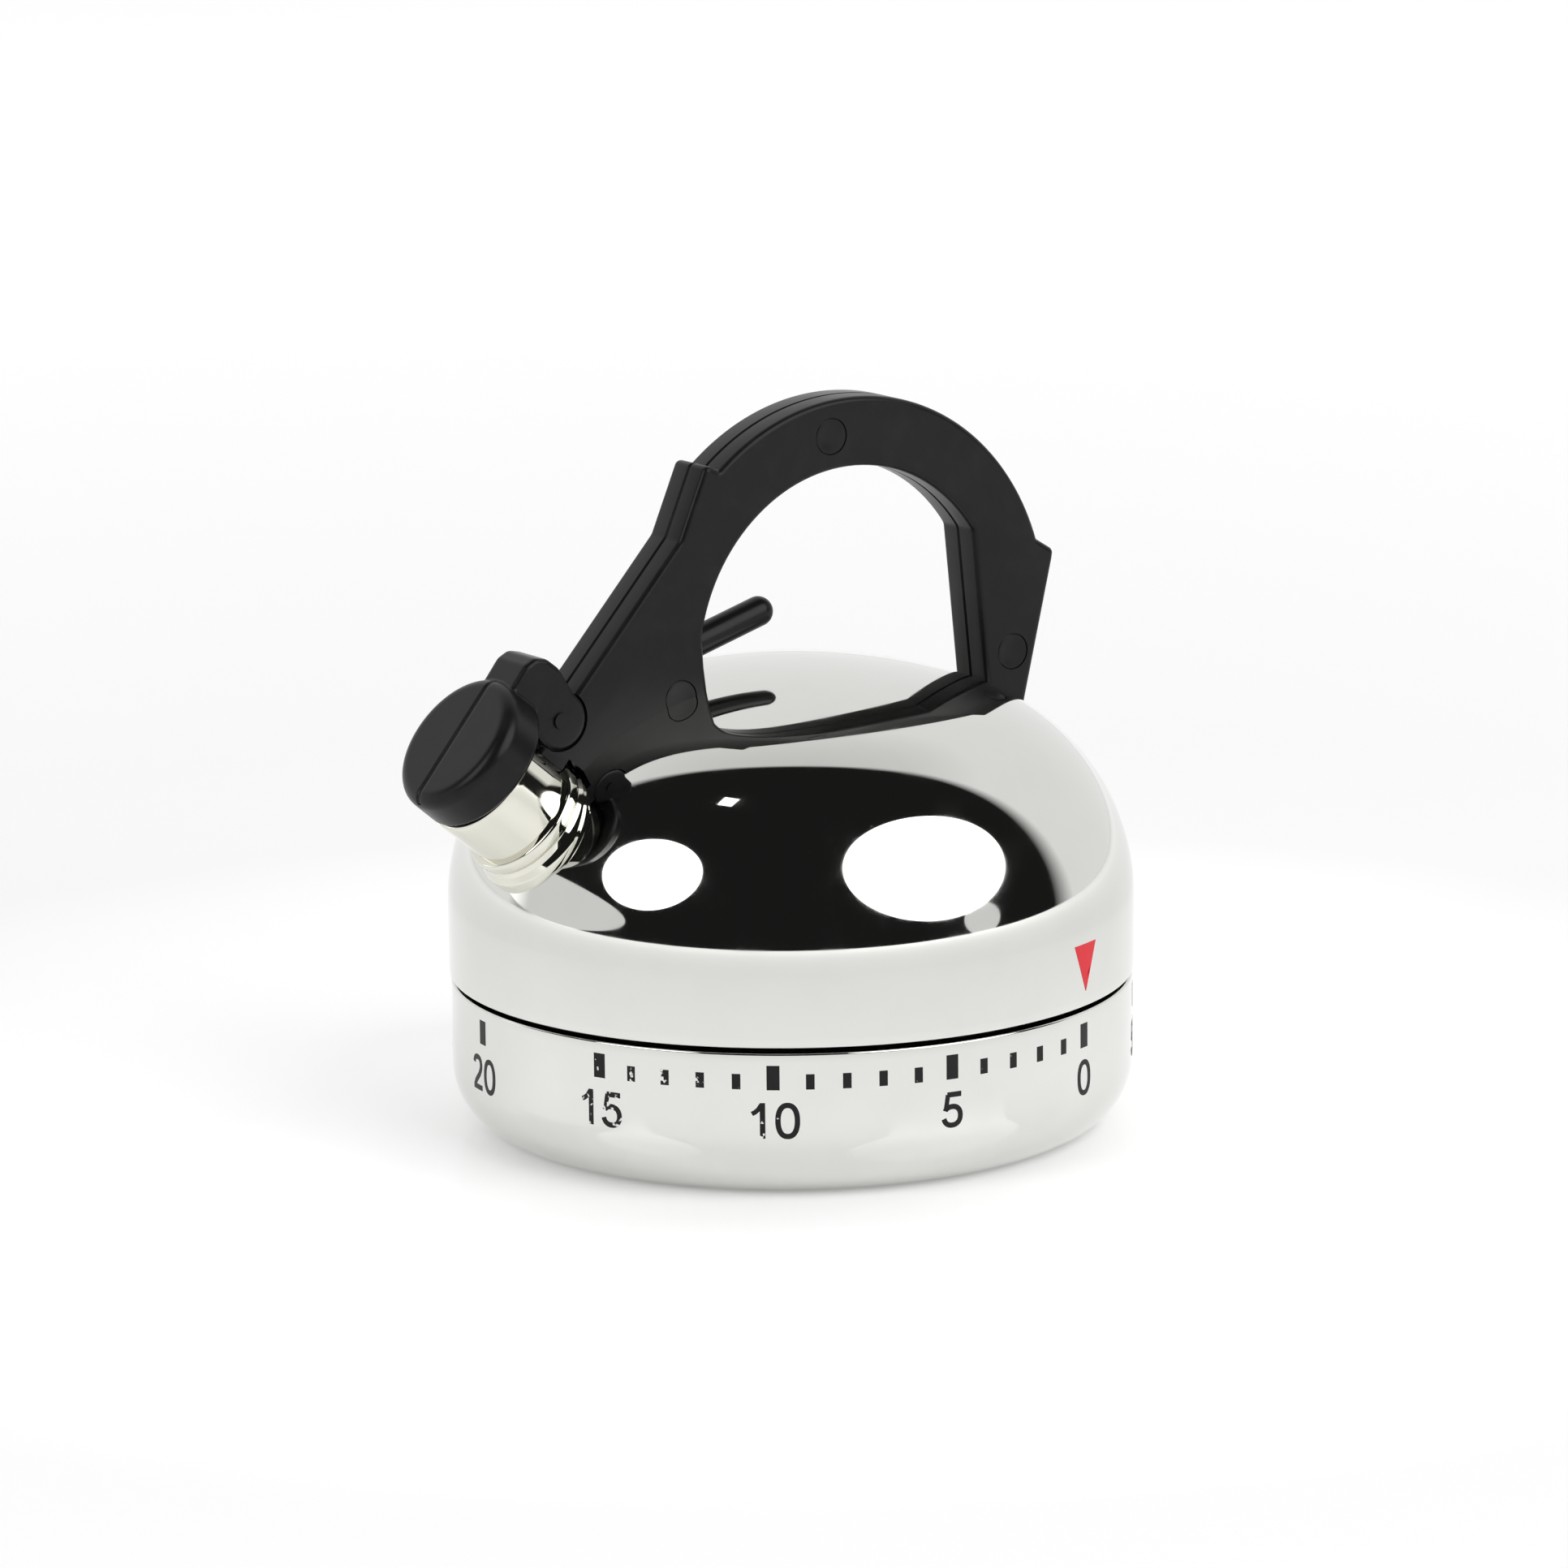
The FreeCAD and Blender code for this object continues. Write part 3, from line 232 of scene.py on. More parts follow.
def plated(name, tint, dull=0.03, handled=0.05):
    """Bright plating over moulded plastic: faint flow waves and handling marks."""
    material, shader, surface = finish_named(name, {"Metallic": 1.0})
    waves = shader.noise(9.0, 1.0)
    marks = shader.ramp(shader.noise(5.0, 6.0), (0.45, 0.0), (0.75, 1.0))
    pits = shader.ramp(shader.noise(0.5, 2.0), (0.70, 0.0), (0.80, 1.0))
    shade = tuple(c * 0.94 for c in tint)
    drive(shader, surface,
          Base_Color=shader.mix(marks * 0.35, colour(*tint), colour(*shade)),
          Roughness=dull + marks * handled + pits * 0.05,
          Normal=shader.bump(waves + pits * -0.02, 0.012, 0.35))
    return material


def moulded(name, tint, grain=0.35, dull=0.38, depth=0.010):
    """Moulded plastic: fine spark grain, soft flow marks, paler rubbed patches."""
    material, shader, surface = finish_named(name, {"Specular IOR Level": 0.2, "IOR": 1.5})
    fine = shader.noise(grain, 2.0)
    flow = shader.noise(7.0, 4.0, (1.0, 1.0, 0.35))
    rubbed = shader.ramp(shader.noise(3.2, 5.0), (0.50, 0.0), (0.80, 1.0))
    pale = tuple(c * 1.5 + 0.004 for c in tint)
    drive(shader, surface,
          Base_Color=shader.mix(rubbed * 0.6, colour(*tint), colour(*pale)),
          Roughness=dull + (flow - 0.5) * 0.16 + rubbed * 0.05,
          Normal=shader.bump(fine * 0.7 + flow * 0.6, depth, 0.5))
    return material


def metal(name, tint, dull, brushed=0.25):
    """Cut metal with turning marks, slight tarnish and oil."""
    material, shader, surface = finish_named(name, {"Metallic": 1.0})
    lines = shader.noise(brushed, 3.0, (1.0, 1.0, 5.0))
    tarnish = shader.ramp(shader.noise(4.0, 5.0), (0.40, 0.0), (0.75, 1.0))
    shade = tuple(c * 0.72 for c in tint)
    drive(shader, surface,
          Base_Color=shader.mix(tarnish * 0.6, colour(*tint), colour(*shade)),
          Roughness=dull + lines * 0.15 + tarnish * 0.1,
          Normal=shader.bump(lines, 0.01, 0.4))
    return material


def ink(name, tint, wear, rubbed_turn=None):
    """Pad-printed ink over the plating, worn through in small patches, and more at one turn in degrees."""
    material, shader, surface = finish_named(name, {"Specular IOR Level": 0.2})
    thin = shader.noise(0.55, 4.0)
    if rubbed_turn is not None:
        way = shader.add("ShaderNodeVectorMath", {"operation": "NORMALIZE"}, {0: shader.place()}, "Vector")
        rubbed = (math.cos(math.radians(rubbed_turn)), math.sin(math.radians(rubbed_turn)), 0)
        near = shader.add("ShaderNodeVectorMath", {"operation": "DOT_PRODUCT"},
                          {0: way, 1: rubbed}, "Value")
        thin = thin + shader.ramp(near, (0.90, 0.0), (0.945, 1.0)) * 0.17
    worn = shader.ramp(thin, (1 - wear, 0.0), (1.03 - wear, 1.0))
    cover = 1 - worn
    drive(shader, surface,
          Base_Color=shader.mix(cover, colour(*CHROME_TINT), colour(*tint)),
          Metallic=worn,
          Roughness=cover * 0.38 + 0.04,
          Normal=shader.bump(shader.noise(0.2, 2.0), 0.004, 0.4))
    return material


CHROME_TINT = (0.705, 0.71, 0.68)
CHROME = plated("bright_chrome", CHROME_TINT)
SPOUT_CHROME = plated("spout_chrome", (0.73, 0.72, 0.64), 0.05)
BLACK = moulded("black_plastic", (0.006, 0.006, 0.0063), dull=0.30)
INNER = moulded("inner_plastic", (0.045, 0.045, 0.048), 0.5, 0.5)
BRASS = metal("rolled_brass", (0.72, 0.53, 0.24), 0.24)
STEEL = metal("bright_steel", (0.55, 0.55, 0.56), 0.26)
SPRING = metal("blued_spring", (0.16, 0.19, 0.30), 0.22)
BELL = metal("bell_steel", (0.60, 0.59, 0.55), 0.16, 0.5)
BLACK_INK = ink("scale_ink", (0.010, 0.010, 0.011), 0.26, RUBBED_TURN)
RED_INK = ink("pointer_ink", (0.62, 0.022, 0.032), 0.18)

FINISHES = {
    "base_ring": CHROME, "dome_shell": CHROME, "spout_tube": SPOUT_CHROME, "spout_collar": SPOUT_CHROME,
    "handle_near": BLACK, "handle_far": BLACK, "handle_pins": BLACK, "pivot_pin": BLACK,
    "whistle_cap": BLACK, "trigger_lever": BLACK, "bottom_cover": INNER, "guide_ring": BLACK,
    "dome_carrier": INNER, "handle_bush": INNER, "bell": BELL, "mainspring": SPRING,
    "click_spring": SPRING,
}
# A node that isn't listed takes the finish of the first word that its name holds.
WORDS = (("arbor", STEEL), ("pinion", STEEL), ("staff", STEEL), ("screw", STEEL), ("nuts", STEEL),
         ("post", STEEL), ("pin", STEEL), ("pillars", BRASS), ("plate", BRASS), ("wheel", BRASS))
for name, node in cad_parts.items():
    chosen = FINISHES.get(name) or next((m for word, m in WORDS if word in name), BRASS)
    node.data.materials.clear()
    node.data.materials.append(chosen)


# ---------------------------------------------------------------- mesh tools


def shown(name, mesh, material, body, replaces=()):
    """Makes mesh a piece of the model, in its finish, on its body."""
    piece = bpy.data.objects.new(name, mesh)
    bpy.context.scene.collection.objects.link(piece)
    mesh.materials.clear()
    mesh.materials.append(material)
    soften(mesh)
    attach(piece, body)
    if replaces:
        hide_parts(*replaces)
    return piece


def soften(mesh, angle=32):
    mesh.shade_smooth()
    mesh.set_sharp_from_angle(angle=math.radians(angle))


def mesh_of(name, points, faces):
    mesh = bpy.data.meshes.new(name)
    shape = bmesh.new()
    corners = [shape.verts.new(Vector(p) * MM) for p in points]
    for face in faces:
        shape.faces.new([corners[i] for i in face])
    bmesh.ops.remove_doubles(shape, verts=shape.verts, dist=1e-8)
    bmesh.ops.recalc_face_normals(shape, faces=shape.faces)
    shape.to_mesh(mesh)
    shape.free()
    return mesh


def turned(name, section, steps=256, frame_matrix=None):
    """A closed half section, (radius, height) points, turned about Z."""
    points = []
    faces = []
    count = len(section)
    for step in range(steps):
        angle = 2 * math.pi * step / steps
        points += [Vector((r * math.cos(angle), r * math.sin(angle), z)) for r, z in section]
        following = (step + 1) % steps
        for i in range(count):
            j = (i + 1) % count
            face = [step * count + i, step * count + j, following * count + j, following * count + i]
            if section[i][0] < 1e-6 and section[j][0] < 1e-6:
                continue
            if section[i][0] < 1e-6:
                face = face[:3]
            elif section[j][0] < 1e-6:
                face = [face[0], face[1], face[3]]
            faces.append(face)
    if frame_matrix:
        points = [frame_matrix @ p for p in points]
    return mesh_of(name, points, faces)


def arc(centre, radius, start, end, steps):
    """Points from angle start to angle end, in degrees, both ends included."""
    turns = [math.radians(start + (end - start) * i / steps) for i in range(steps + 1)]
    return [(centre[0] + radius * math.cos(a), centre[1] + radius * math.sin(a)) for a in turns]


def arc_through(first, last, radius, turn, steps=24):
    """Points from first to last on an arc, turning left when turn is 1 and right when it is -1."""
    a, b = Vector(first), Vector(last)
    middle = (a + b) / 2
    chord = b - a
    side = Vector((-chord.y, chord.x)).normalized() * turn
    centre = middle + side * math.sqrt(radius ** 2 - (chord.length / 2) ** 2)
    start = math.degrees(math.atan2(a.y - centre.y, a.x - centre.x))
    end = math.degrees(math.atan2(b.y - centre.y, b.x - centre.x))
    sweep = (end - start) * turn % 360 * turn
    return arc(centre, radius, start, start + sweep, steps)


def rounded(corners, steps=5):
    """An outline from (x, y, radius) corners, each rounded by its radius."""
    line = []
    count = len(corners)
    for i, (x, y, radius) in enumerate(corners):
        here = Vector((x, y))
        before = Vector(corners[i - 1][:2]) - here
        after = Vector(corners[(i + 1) % count][:2]) - here
        if radius <= 0:
            line.append((x, y))
            continue
        half_angle = before.angle(after) / 2
        reach = min(radius / math.tan(half_angle), before.length * 0.48, after.length * 0.48)
        size = reach * math.tan(half_angle)
        start = here + before.normalized() * reach
        end = here + after.normalized() * reach
        middle = (before.normalized() + after.normalized()).normalized()
        centre = here + middle * (size / math.sin(half_angle))
        for step in range(steps + 1):
            share = step / steps
            spot = start.lerp(end, share) - centre
            line.append(tuple(centre + spot.normalized() * size))
    return line


def area_of(line):
    return sum(a[0] * b[1] - b[0] * a[1] for a, b in zip(line, line[1:] + line[:1])) / 2


def inset(line, amount):
    """The outline moved inwards by amount."""
    side = 1 if area_of(line) > 0 else -1
    moved = []
    count = len(line)
    for i in range(count):
        here = Vector(line[i])
        ahead = (Vector(line[(i + 1) % count]) - here).normalized()
        behind = (here - Vector(line[i - 1])).normalized()
        normal = Vector((-behind.y, behind.x)) + Vector((-ahead.y, ahead.x))
        length = normal.length
        moved.append(tuple(here + normal / length * side * amount * 2 / length))
    return moved


def plate(name, line, layers):
    """An outline in the XZ plane stacked along Y: layers are (y, inset) pairs."""
    points = []
    faces = []
    count = len(line)
    for y, amount in layers:
        points += [(x, y, z) for x, z in (inset(line, amount) if amount else line)]
    for level in range(len(layers) - 1):
        for i in range(count):
            j = (i + 1) % count
            faces.append([level * count + i, level * count + j,
                          (level + 1) * count + j, (level + 1) * count + i])
    faces.append(list(range(count)))
    faces.append([len(points) - count + i for i in range(count)])
    return mesh_of(name, points, faces)


def edge_layers(outer, inner, edge, seam=0.0, steps=5):
    """Layers from the rounded outer face in to the inner one, which may have a small seam chamfer."""
    way = 1 if inner > outer else -1
    turns = [math.pi / 2 * i / steps for i in range(steps + 1)]
    layers = [(outer + way * edge * (1 - math.cos(t)), edge * (1 - math.sin(t))) for t in turns]
    if seam:
        return layers + [(inner - way * seam, 0.0), (inner, seam * 0.8)]
    return layers + [(inner, 0.0)]


def combine(mesh, operation, *tools):
    """Joins or cuts mesh by the tool meshes and gives the result as a new mesh."""
    piece = bpy.data.objects.new("work", mesh)
    bpy.context.scene.collection.objects.link(piece)
    helpers = []
    for tool in tools:
        helper = bpy.data.objects.new("tool", tool)
        bpy.context.scene.collection.objects.link(helper)
        helpers.append(helper)
        change = piece.modifiers.new("change", "BOOLEAN")
        change.operation = operation
        change.solver = "EXACT"
        change.object = helper
    result = baked(piece)
    for helper in helpers:
        bpy.data.objects.remove(helper)
    bpy.data.objects.remove(piece)
    return result


def gathered(name, *meshes):
    """The meshes put together as one."""
    shape = bmesh.new()
    for mesh in meshes:
        shape.from_mesh(mesh)
    whole = bpy.data.meshes.new(name)
    shape.to_mesh(whole)
    shape.free()
    return whole


def baked(piece):
    bpy.context.view_layer.update()
    graph = bpy.context.evaluated_depsgraph_get()
    return bpy.data.meshes.new_from_object(piece.evaluated_get(graph))


def rod_along_y(name, radius, near, far, x, z, steps=64):
    """A plain cylinder along Y, used to cut with."""
    turn = Matrix.Translation((x, near, z)) @ Matrix.Rotation(math.radians(-90), 4, "X")
    return turned(name, [(0, 0), (radius, 0), (radius, far - near), (0, far - near)], steps, turn)


def spout_place(along, up):
    """A place in the handle's plane from its distances along and across the spout."""
    return (SPOUT_FACE[0] - along * math.cos(SPOUT_TILT) + up * math.sin(SPOUT_TILT),
            SPOUT_FACE[1] + along * math.sin(SPOUT_TILT) + up * math.cos(SPOUT_TILT))


def spout_frame(up=0.0):
    x, z = spout_place(0.0, up)
    return Matrix.Translation((x, 0, z)) @ Matrix.Rotation(SPOUT_TILT - math.pi / 2, 4, "Y")


PIVOT = spout_place(-PIVOT_BACK, PIVOT_UP)


# ---------------------------------------------------------------- dome and ring


def dome_line(move=0.0):
    """The dome's outside from its lower edge to its top, moved inwards by move."""
    middle_x = DOME_RADIUS - SHOULDER_RADIUS
    middle_z = DOME_LOW + DOME_STRAIGHT
    rise = DOME_TOP - SHOULDER_RADIUS
    crown_z = (rise ** 2 - middle_x ** 2 - middle_z ** 2) / (2 * (rise - middle_z))
    crown = DOME_TOP - crown_z
    lean = math.degrees(math.atan2(middle_x, middle_z - crown_z))
    wall = DOME_RADIUS - move
    line = [(wall, DOME_LOW), (wall, DOME_LOW + 1), (wall, middle_z - 1)]
    line += arc((middle_x, middle_z), SHOULDER_RADIUS - move, 0, 90 - lean, 64)
    line += arc((0, crown_z), crown - move, 90 - lean, 90, 24)[1:]
    line[-1] = (0.0, line[-1][1])
    return line


def make_dome():
    lip = 0.28
    outside = dome_line()[1:]
    inside = dome_line(DOME_WALL)[1:]
    edge = arc((DOME_RADIUS - lip, DOME_LOW + lip), lip, -90, 0, 6)
    inner_edge = arc((DOME_RADIUS - DOME_WALL + 0.15, DOME_LOW + 0.15), 0.15, 180, 270, 4)
    section = edge + outside + list(reversed(inside)) + inner_edge
    shown("chrome_dome", turned("chrome_dome", section), CHROME, "dome", ["dome_shell"])


def make_ring():
    inner = RING_RADIUS - RING_WALL
    lip = 0.22
    curl = arc_through((FOOT_RADIUS, 0), (RING_RADIUS, RING_CURL), RING_CURL, 1, 20)
    inner_curl = arc_through((inner, RING_CURL), (FOOT_RADIUS - 1, FOOT_THICK), RING_CURL, -1, 12)
    section = [(FOOT_HOLE, 0), (FOOT_HOLE + 1, 0)] + curl
    section += [(RING_RADIUS, RING_CURL + 1), (RING_RADIUS, RING_TOP - 1)]
    section += arc((RING_RADIUS - lip, RING_TOP - lip), lip, 0, 90, 6)
    section += [(inner, RING_TOP)] + inner_curl + [(FOOT_HOLE, FOOT_THICK)]
    shown("scale_ring", turned("scale_ring", section), CHROME, "base", ["base_ring"])


# ---------------------------------------------------------------- printing


STROKE = 0.15


def bowl(middle, size, start, end, power=2.25, steps=22):
    """Points on a squarish oval from angle start to angle end, in degrees."""
    line = []
    for step in range(steps + 1):
        turn = math.radians(start + (end - start) * step / steps)
        c, s = math.cos(turn), math.sin(turn)
        line.append((middle[0] + size[0] * math.copysign(abs(c) ** (2 / power), c),
                     middle[1] + size[1] * math.copysign(abs(s) ** (2 / power), s)))
    return line


def stroke(line, width=STROKE, closed=False):
    """The two sides of a pen stroke along line."""
    left = []
    right = []
    count = len(line)
    for i in range(count):
        here = Vector(line[i])
        before = Vector(line[i - 1]) if i or closed else here
        after = Vector(line[(i + 1) % count]) if i < count - 1 or closed else here
        way = (after - before).normalized()
        side = Vector((-way.y, way.x)) * width / 2
        left.append(tuple(here + side))
        right.append(tuple(here - side))
    return left, right, closed


def bar(x, low, high, width=STROKE):
    return stroke([(x, low), (x, (low + high) / 2), (x, high)], width)


def level(y, start, end, width=STROKE):
    return stroke([(start + (end - start) * i / 4, y) for i in range(5)], width)


DIGIT_WIDTH = 0.66
DIGITS = {
    "0": [stroke(bowl((0.33, 0.5), (0.265, 0.4375), 0, 360, 2.3, 40)[:-1], STROKE, True)],
    "1": [bar(0.42, 0.0, 1.0),
          stroke([(0.13, 0.69), (0.22, 0.74), (0.31, 0.82), (0.385, 0.94)], 0.13)],
    "2": [stroke(bowl((0.33, 0.715), (0.235, 0.2225), 172, -12)
                 + [(0.53, 0.58), (0.45, 0.46), (0.33, 0.345), (0.21, 0.235), (0.135, 0.12)]),
          level(STROKE / 2, 0.055, 0.63)],
    "3": [stroke(bowl((0.31, 0.745), (0.215, 0.1925), 165, -84)),
          stroke(bowl((0.31, 0.297), (0.25, 0.2345), 96, -168))],
    "4": [bar(0.475, 0.0, 1.0), level(0.285, 0.02, 0.65),
          stroke([(0.075, 0.33), (0.25, 0.62), (0.43, 0.93)])],
    "5": [level(1 - STROKE / 2, 0.17, 0.60),
          stroke([(0.19, 0.93), (0.155, 0.70), (0.118, 0.49)], 0.135),
          stroke([(0.10, 0.475)] + bowl((0.315, 0.325), (0.255, 0.2625), 142, -168))],
}


class Print:
    """Thin ink marks laid on a round wall."""

    def __init__(self, radius):
        self.radius = radius
        self.points = []
        self.faces = []

    def spot(self, turn, x, y, rise):
        angle = math.radians(turn) + x / self.radius
        size = self.radius + rise
        return (size * math.cos(angle), size * math.sin(angle), y)

    def strip(self, turn, left, right, closed):
        """Ink between two lines of (x, height) points, centred on the angle turn, in degrees."""
        first = len(self.points)
        count = len(left)
        sides = ((left, PRINT_RISE), (right, PRINT_RISE), (right, -PRINT_SINK), (left, -PRINT_SINK))
        for line, rise in sides:
            self.points += [self.spot(turn, x, y, rise) for x, y in line]
        for i in range(count if closed else count - 1):
            j = (i + 1) % count
            for side in range(4):
                a, b = side * count, (side + 1) % 4 * count
                self.faces.append([first + a + i, first + a + j, first + b + j, first + b + i])
        if not closed:
            for i in (0, count - 1):
                self.faces.append([first + side * count + i for side in range(4)])

    def digits(self, turn, text, foot, height):
        gap = 0.115
        whole = len(text) * DIGIT_WIDTH + (len(text) - 1) * gap
        for number, digit in enumerate(text):
            shift = number * (DIGIT_WIDTH + gap) - whole / 2
            for left, right, closed in DIGITS[digit]:
                scaled = [[((x + shift) * height, foot + y * height) for x, y in line]
                          for line in (left, right)]
                self.strip(turn, *scaled, closed)

    def tick(self, turn, width, low, high):
        xs = [-width / 2, -width / 6, width / 6, width / 2]
        self.strip(turn, [(x, high) for x in xs], [(x, low) for x in xs], False)

    def mesh(self, name):
        return mesh_of(name, self.points, self.faces)


def make_scale():
    marks = Print(RING_RADIUS)
    for minute in range(0, 60, 5):
        turn = SCALE_ZERO - MINUTE * minute
        marks.tick(turn, *LONG_TICK)
        marks.digits(turn, str(minute), DIGIT_FOOT, DIGIT_HEIGHT)
    for minute in range(1, 15):
        if minute % 5:
            marks.tick(SCALE_ZERO - MINUTE * minute, *SHORT_TICK)
    shown("minute_scale", marks.mesh("minute_scale"), BLACK_INK, "base")

    pointer = Print(DOME_RADIUS)
    tip = DOME_LOW + POINTER_RISE
    rows = [(tip + POINTER_HEIGHT * i / 8, POINTER_WIDTH * (0.02 + 0.98 * i / 8) / 2) for i in range(9)]
    slices = 6
    for part in range(slices):
        near, far = (2 * part / slices - 1, 2 * (part + 1) / slices - 1)
        pointer.strip(SCALE_ZERO, [(w * near, z) for z, w in rows], [(w * far, z) for z, w in rows], False)
    shown("zero_pointer", pointer.mesh("zero_pointer"), RED_INK, "dome")


# ---------------------------------------------------------------- handle


def over(circle, x):
    """Height of a circle, (x, z, radius), above x."""
    return circle[1] + math.sqrt(circle[2] ** 2 - (x - circle[0]) ** 2)


def handle_line():
    """Outline of the bridge handle, clockwise from the little ledge above its front leg."""
    ledge = -(LEDGE_X - 1.5)
    notch = ARCH[0] + ARCH[2] * 0.952
    corner = GRIP[0] + GRIP[2] * 0.833
    leg = GRIP[0] - GRIP[2] * 0.985
    outer = arc_through((ledge, over(ARCH, ledge)), (notch, over(ARCH, notch)), ARCH[2], -1, 56)
    inner = arc_through((corner, over(GRIP, corner)), (leg, over(GRIP, leg)), GRIP[2], 1, 48)
    corners = [(x, z, 0) for x, z in outer]
    corners[0] = (*outer[0], 0.35)
    corners[-1] = (*outer[-1], 0.35)
    corners += [
        (notch + 2.1, over(ARCH, notch) - 1.3, 0.75), (notch + 1.95, over(ARCH, notch) - 2.2, 0.6),
        (REAR_FOOT + 1.8, FOOT_LOW, 0), (REAR_FOOT - 1.7, FOOT_LOW, 0)]
    corners += [(x, z, 0) for x, z in inner]
    corners[-len(inner)] = (*inner[0], 1.2)
    front_foot = spout_place(-PIVOT_BACK, 3)
    corners += [
        (leg + 0.2, over(GRIP, leg) - 3, 0), (leg + 1.0, FRONT_LEG_LOW, 0),
        (-(TAB_X + 4.5), FRONT_FOOT_LOW, 0),
        (*front_foot, 0.6), (*spout_place(-PIVOT_BACK, PIVOT_UP + 3.5), 0.6), (*BEND, 1.6),
        (-LEDGE_X, over(ARCH, ledge) + LEDGE_RISE, 0.62)]
    return rounded(corners)


def lever_space(half_height, reach, depth, start=0.0):
    """The space that the trigger lever sweeps, made depth thick about the middle plane."""
    low = ROD_SLOPE - ROD_TRAVEL - math.radians(1)
    high = ROD_SLOPE + math.radians(0.5)

    def spot(along, across, angle):
        return (PIVOT[0] + along * math.cos(angle) - across * math.sin(angle),
                PIVOT[1] + along * math.sin(angle) + across * math.cos(angle))

    line = [spot(start, half_height, high), spot(reach, half_height, high),
            spot(reach, -half_height, low), spot(start, -half_height, low)]
    return plate("lever_space", line, [(-depth / 2, 0), (depth / 2, 0)])


def pin_places():
    """Middles of the round marks on each face of the handle."""
    crown = ARCH[0] - 2.3
    crown_z = over(ARCH, crown) - (ARCH[2] - GRIP[2]) * 0.58
    return [(crown, crown_z), (REAR_FOOT + 0.9, REAR_PIN_Z), FRONT_MARK]


def make_handle():
    inner = LEVER_THICK / 2 + SLOT_PLAY
    core_low = 20.0
    core = [(0.0, core_low), (DOME_RADIUS, core_low)]
    core += [spot for spot in dome_line() if spot[1] > core_low]
    spout_wide = SPOUT_RADIUS + SPOUT_FIT
    collar_wide = COLLAR_RADIUS + COLLAR_FIT
    collar_front = -(COLLAR_START - 0.1)
    for side, name, node in ((-1, "handle_half_near", "handle_near"), (1, "handle_half_far", "handle_far")):
        mesh = plate(name, handle_line(), edge_layers(side * HALF, 0.0, HANDLE_EDGE, HANDLE_SEAM))
        cheek = sorted((side * TONGUE_THICK / 2, side * (HALF + 1)))
        tools = [
            turned("dome_core", core, 128),
            rod_along_y("relief", CHEEK_RADIUS + CHEEK_PLAY, *cheek, *PIVOT),
            rod_along_y("hub", KNUCKLE_RADIUS + 0.1, -inner, inner, *PIVOT),
            turned("spout_space", [(0, -20), (spout_wide, -20), (spout_wide, 0), (0, 0)],
                   96, spout_frame()),
            turned("collar_space", [(0, -23), (collar_wide, -23), (collar_wide, collar_front),
                                    (0, collar_front)], 96, spout_frame()),
            lever_space(ROD_RADIUS + 0.2, SLOT_REACH, inner * 2),
            lever_space(ROD_RADIUS + 0.3, SLOT_REACH, ROD_RADIUS * 2 + 0.4, MOUTH_START),
        ]
        for spot in pin_places():
            depth = sorted((side * (HALF - PIN_SUNK), side * (HALF + 1)))
            tools.append(rod_along_y("pin_space", PIN_RADIUS, *depth, *spot))
        mesh = combine(mesh, "DIFFERENCE", *tools)
        shown(name, mesh, BLACK, "dome", [node])
    make_pins()


def make_pins():
    """Dished ends of the pins that join the handle halves."""
    for number, (x, z) in enumerate(pin_places()):
        for side in (-1, 1):
            place = Matrix.Translation((x, side * (HALF - PIN_SUNK), z))
            place = place @ Matrix.Rotation(side * math.radians(-90), 4, "X")
            radius = PIN_RADIUS - 0.06
            section = [(0, -0.2), (radius, -0.2), (radius, 0.06), (radius - 0.08, 0.12),
                       (radius - 0.35, 0.12), (radius - 0.6, 0.05), (0, 0.05)]
            name = "pin_end_" + str(number) + ("_near" if side < 0 else "_far")
            shown(name, turned(name, section, 48, place), BLACK, "dome", ["handle_pins"])


# ---------------------------------------------------------------- spout, cap and lever


def make_spout():
    front = -(CAP_DEPTH + 0.2)
    back = COLLAR_START + 1.5
    lip = 0.35
    section = [(SPOUT_BORE, -SPOUT_LENGTH), (SPIGOT_RADIUS, -SPOUT_LENGTH), (SPIGOT_RADIUS, -back),
               (SPOUT_RADIUS, -back), (SPOUT_RADIUS, front - 1)]
    section += arc((SPOUT_RADIUS - lip, front - lip), lip, 0, 90, 5)
    section += [(NECK_RADIUS, front), (NECK_RADIUS, -1.7), (NECK_RADIUS - 0.2, -1.5), (SPOUT_BORE, -1.5)]
    shown("spout_barrel", turned("spout_barrel", section, 128, spout_frame()),
          SPOUT_CHROME, "dome", ["spout_tube"])

    end = COLLAR_START + COLLAR_WIDTH
    wide = COLLAR_RADIUS + 0.5
    section = rounded([
        (SPIGOT_RADIUS, -(end + 5), 0), (wide, -(end + 5), 0), (wide, -(end + 1.0), 0.3),
        (COLLAR_RADIUS, -(end + 0.5), 0.3), (COLLAR_RADIUS - 0.25, -end, 0.2),
        (COLLAR_RADIUS, -(end - 0.4), 0.2),
        (COLLAR_RADIUS, -COLLAR_START, 0.4), (SPOUT_RADIUS, -COLLAR_START, 0), (SPOUT_RADIUS, -end, 0),
        (SPIGOT_RADIUS, -end, 0)], 4)
    shown("spout_seat", turned("spout_seat", section, 128, spout_frame()),
          SPOUT_CHROME, "dome", ["spout_collar"])


def arm_line():
    top = PIVOT_UP + CHEEK_RADIUS
    back = -PIVOT_BACK
    front = -0.9
    rim = CAP_LIFT + CAP_RADIUS
    return rounded([(*spout_place(a, u), r) for a, u, r in (
        (back, PIVOT_UP - 0.5, 0), (back, top, 0),
        (front - 3.4, top + 1.1, 1.5), (front - 1.7, top + 1.05, 1.0),
        (front - 0.5, top + 0.4, 0.8), (front, top - 0.8, 0.8), (front - 0.1, rim - 1, 0),
        (front - 1.5, rim - 1.6, 0), (back + 3.1, rim - 1.0, 0), (back + 1.7, PIVOT_UP - 1.9, 0))])


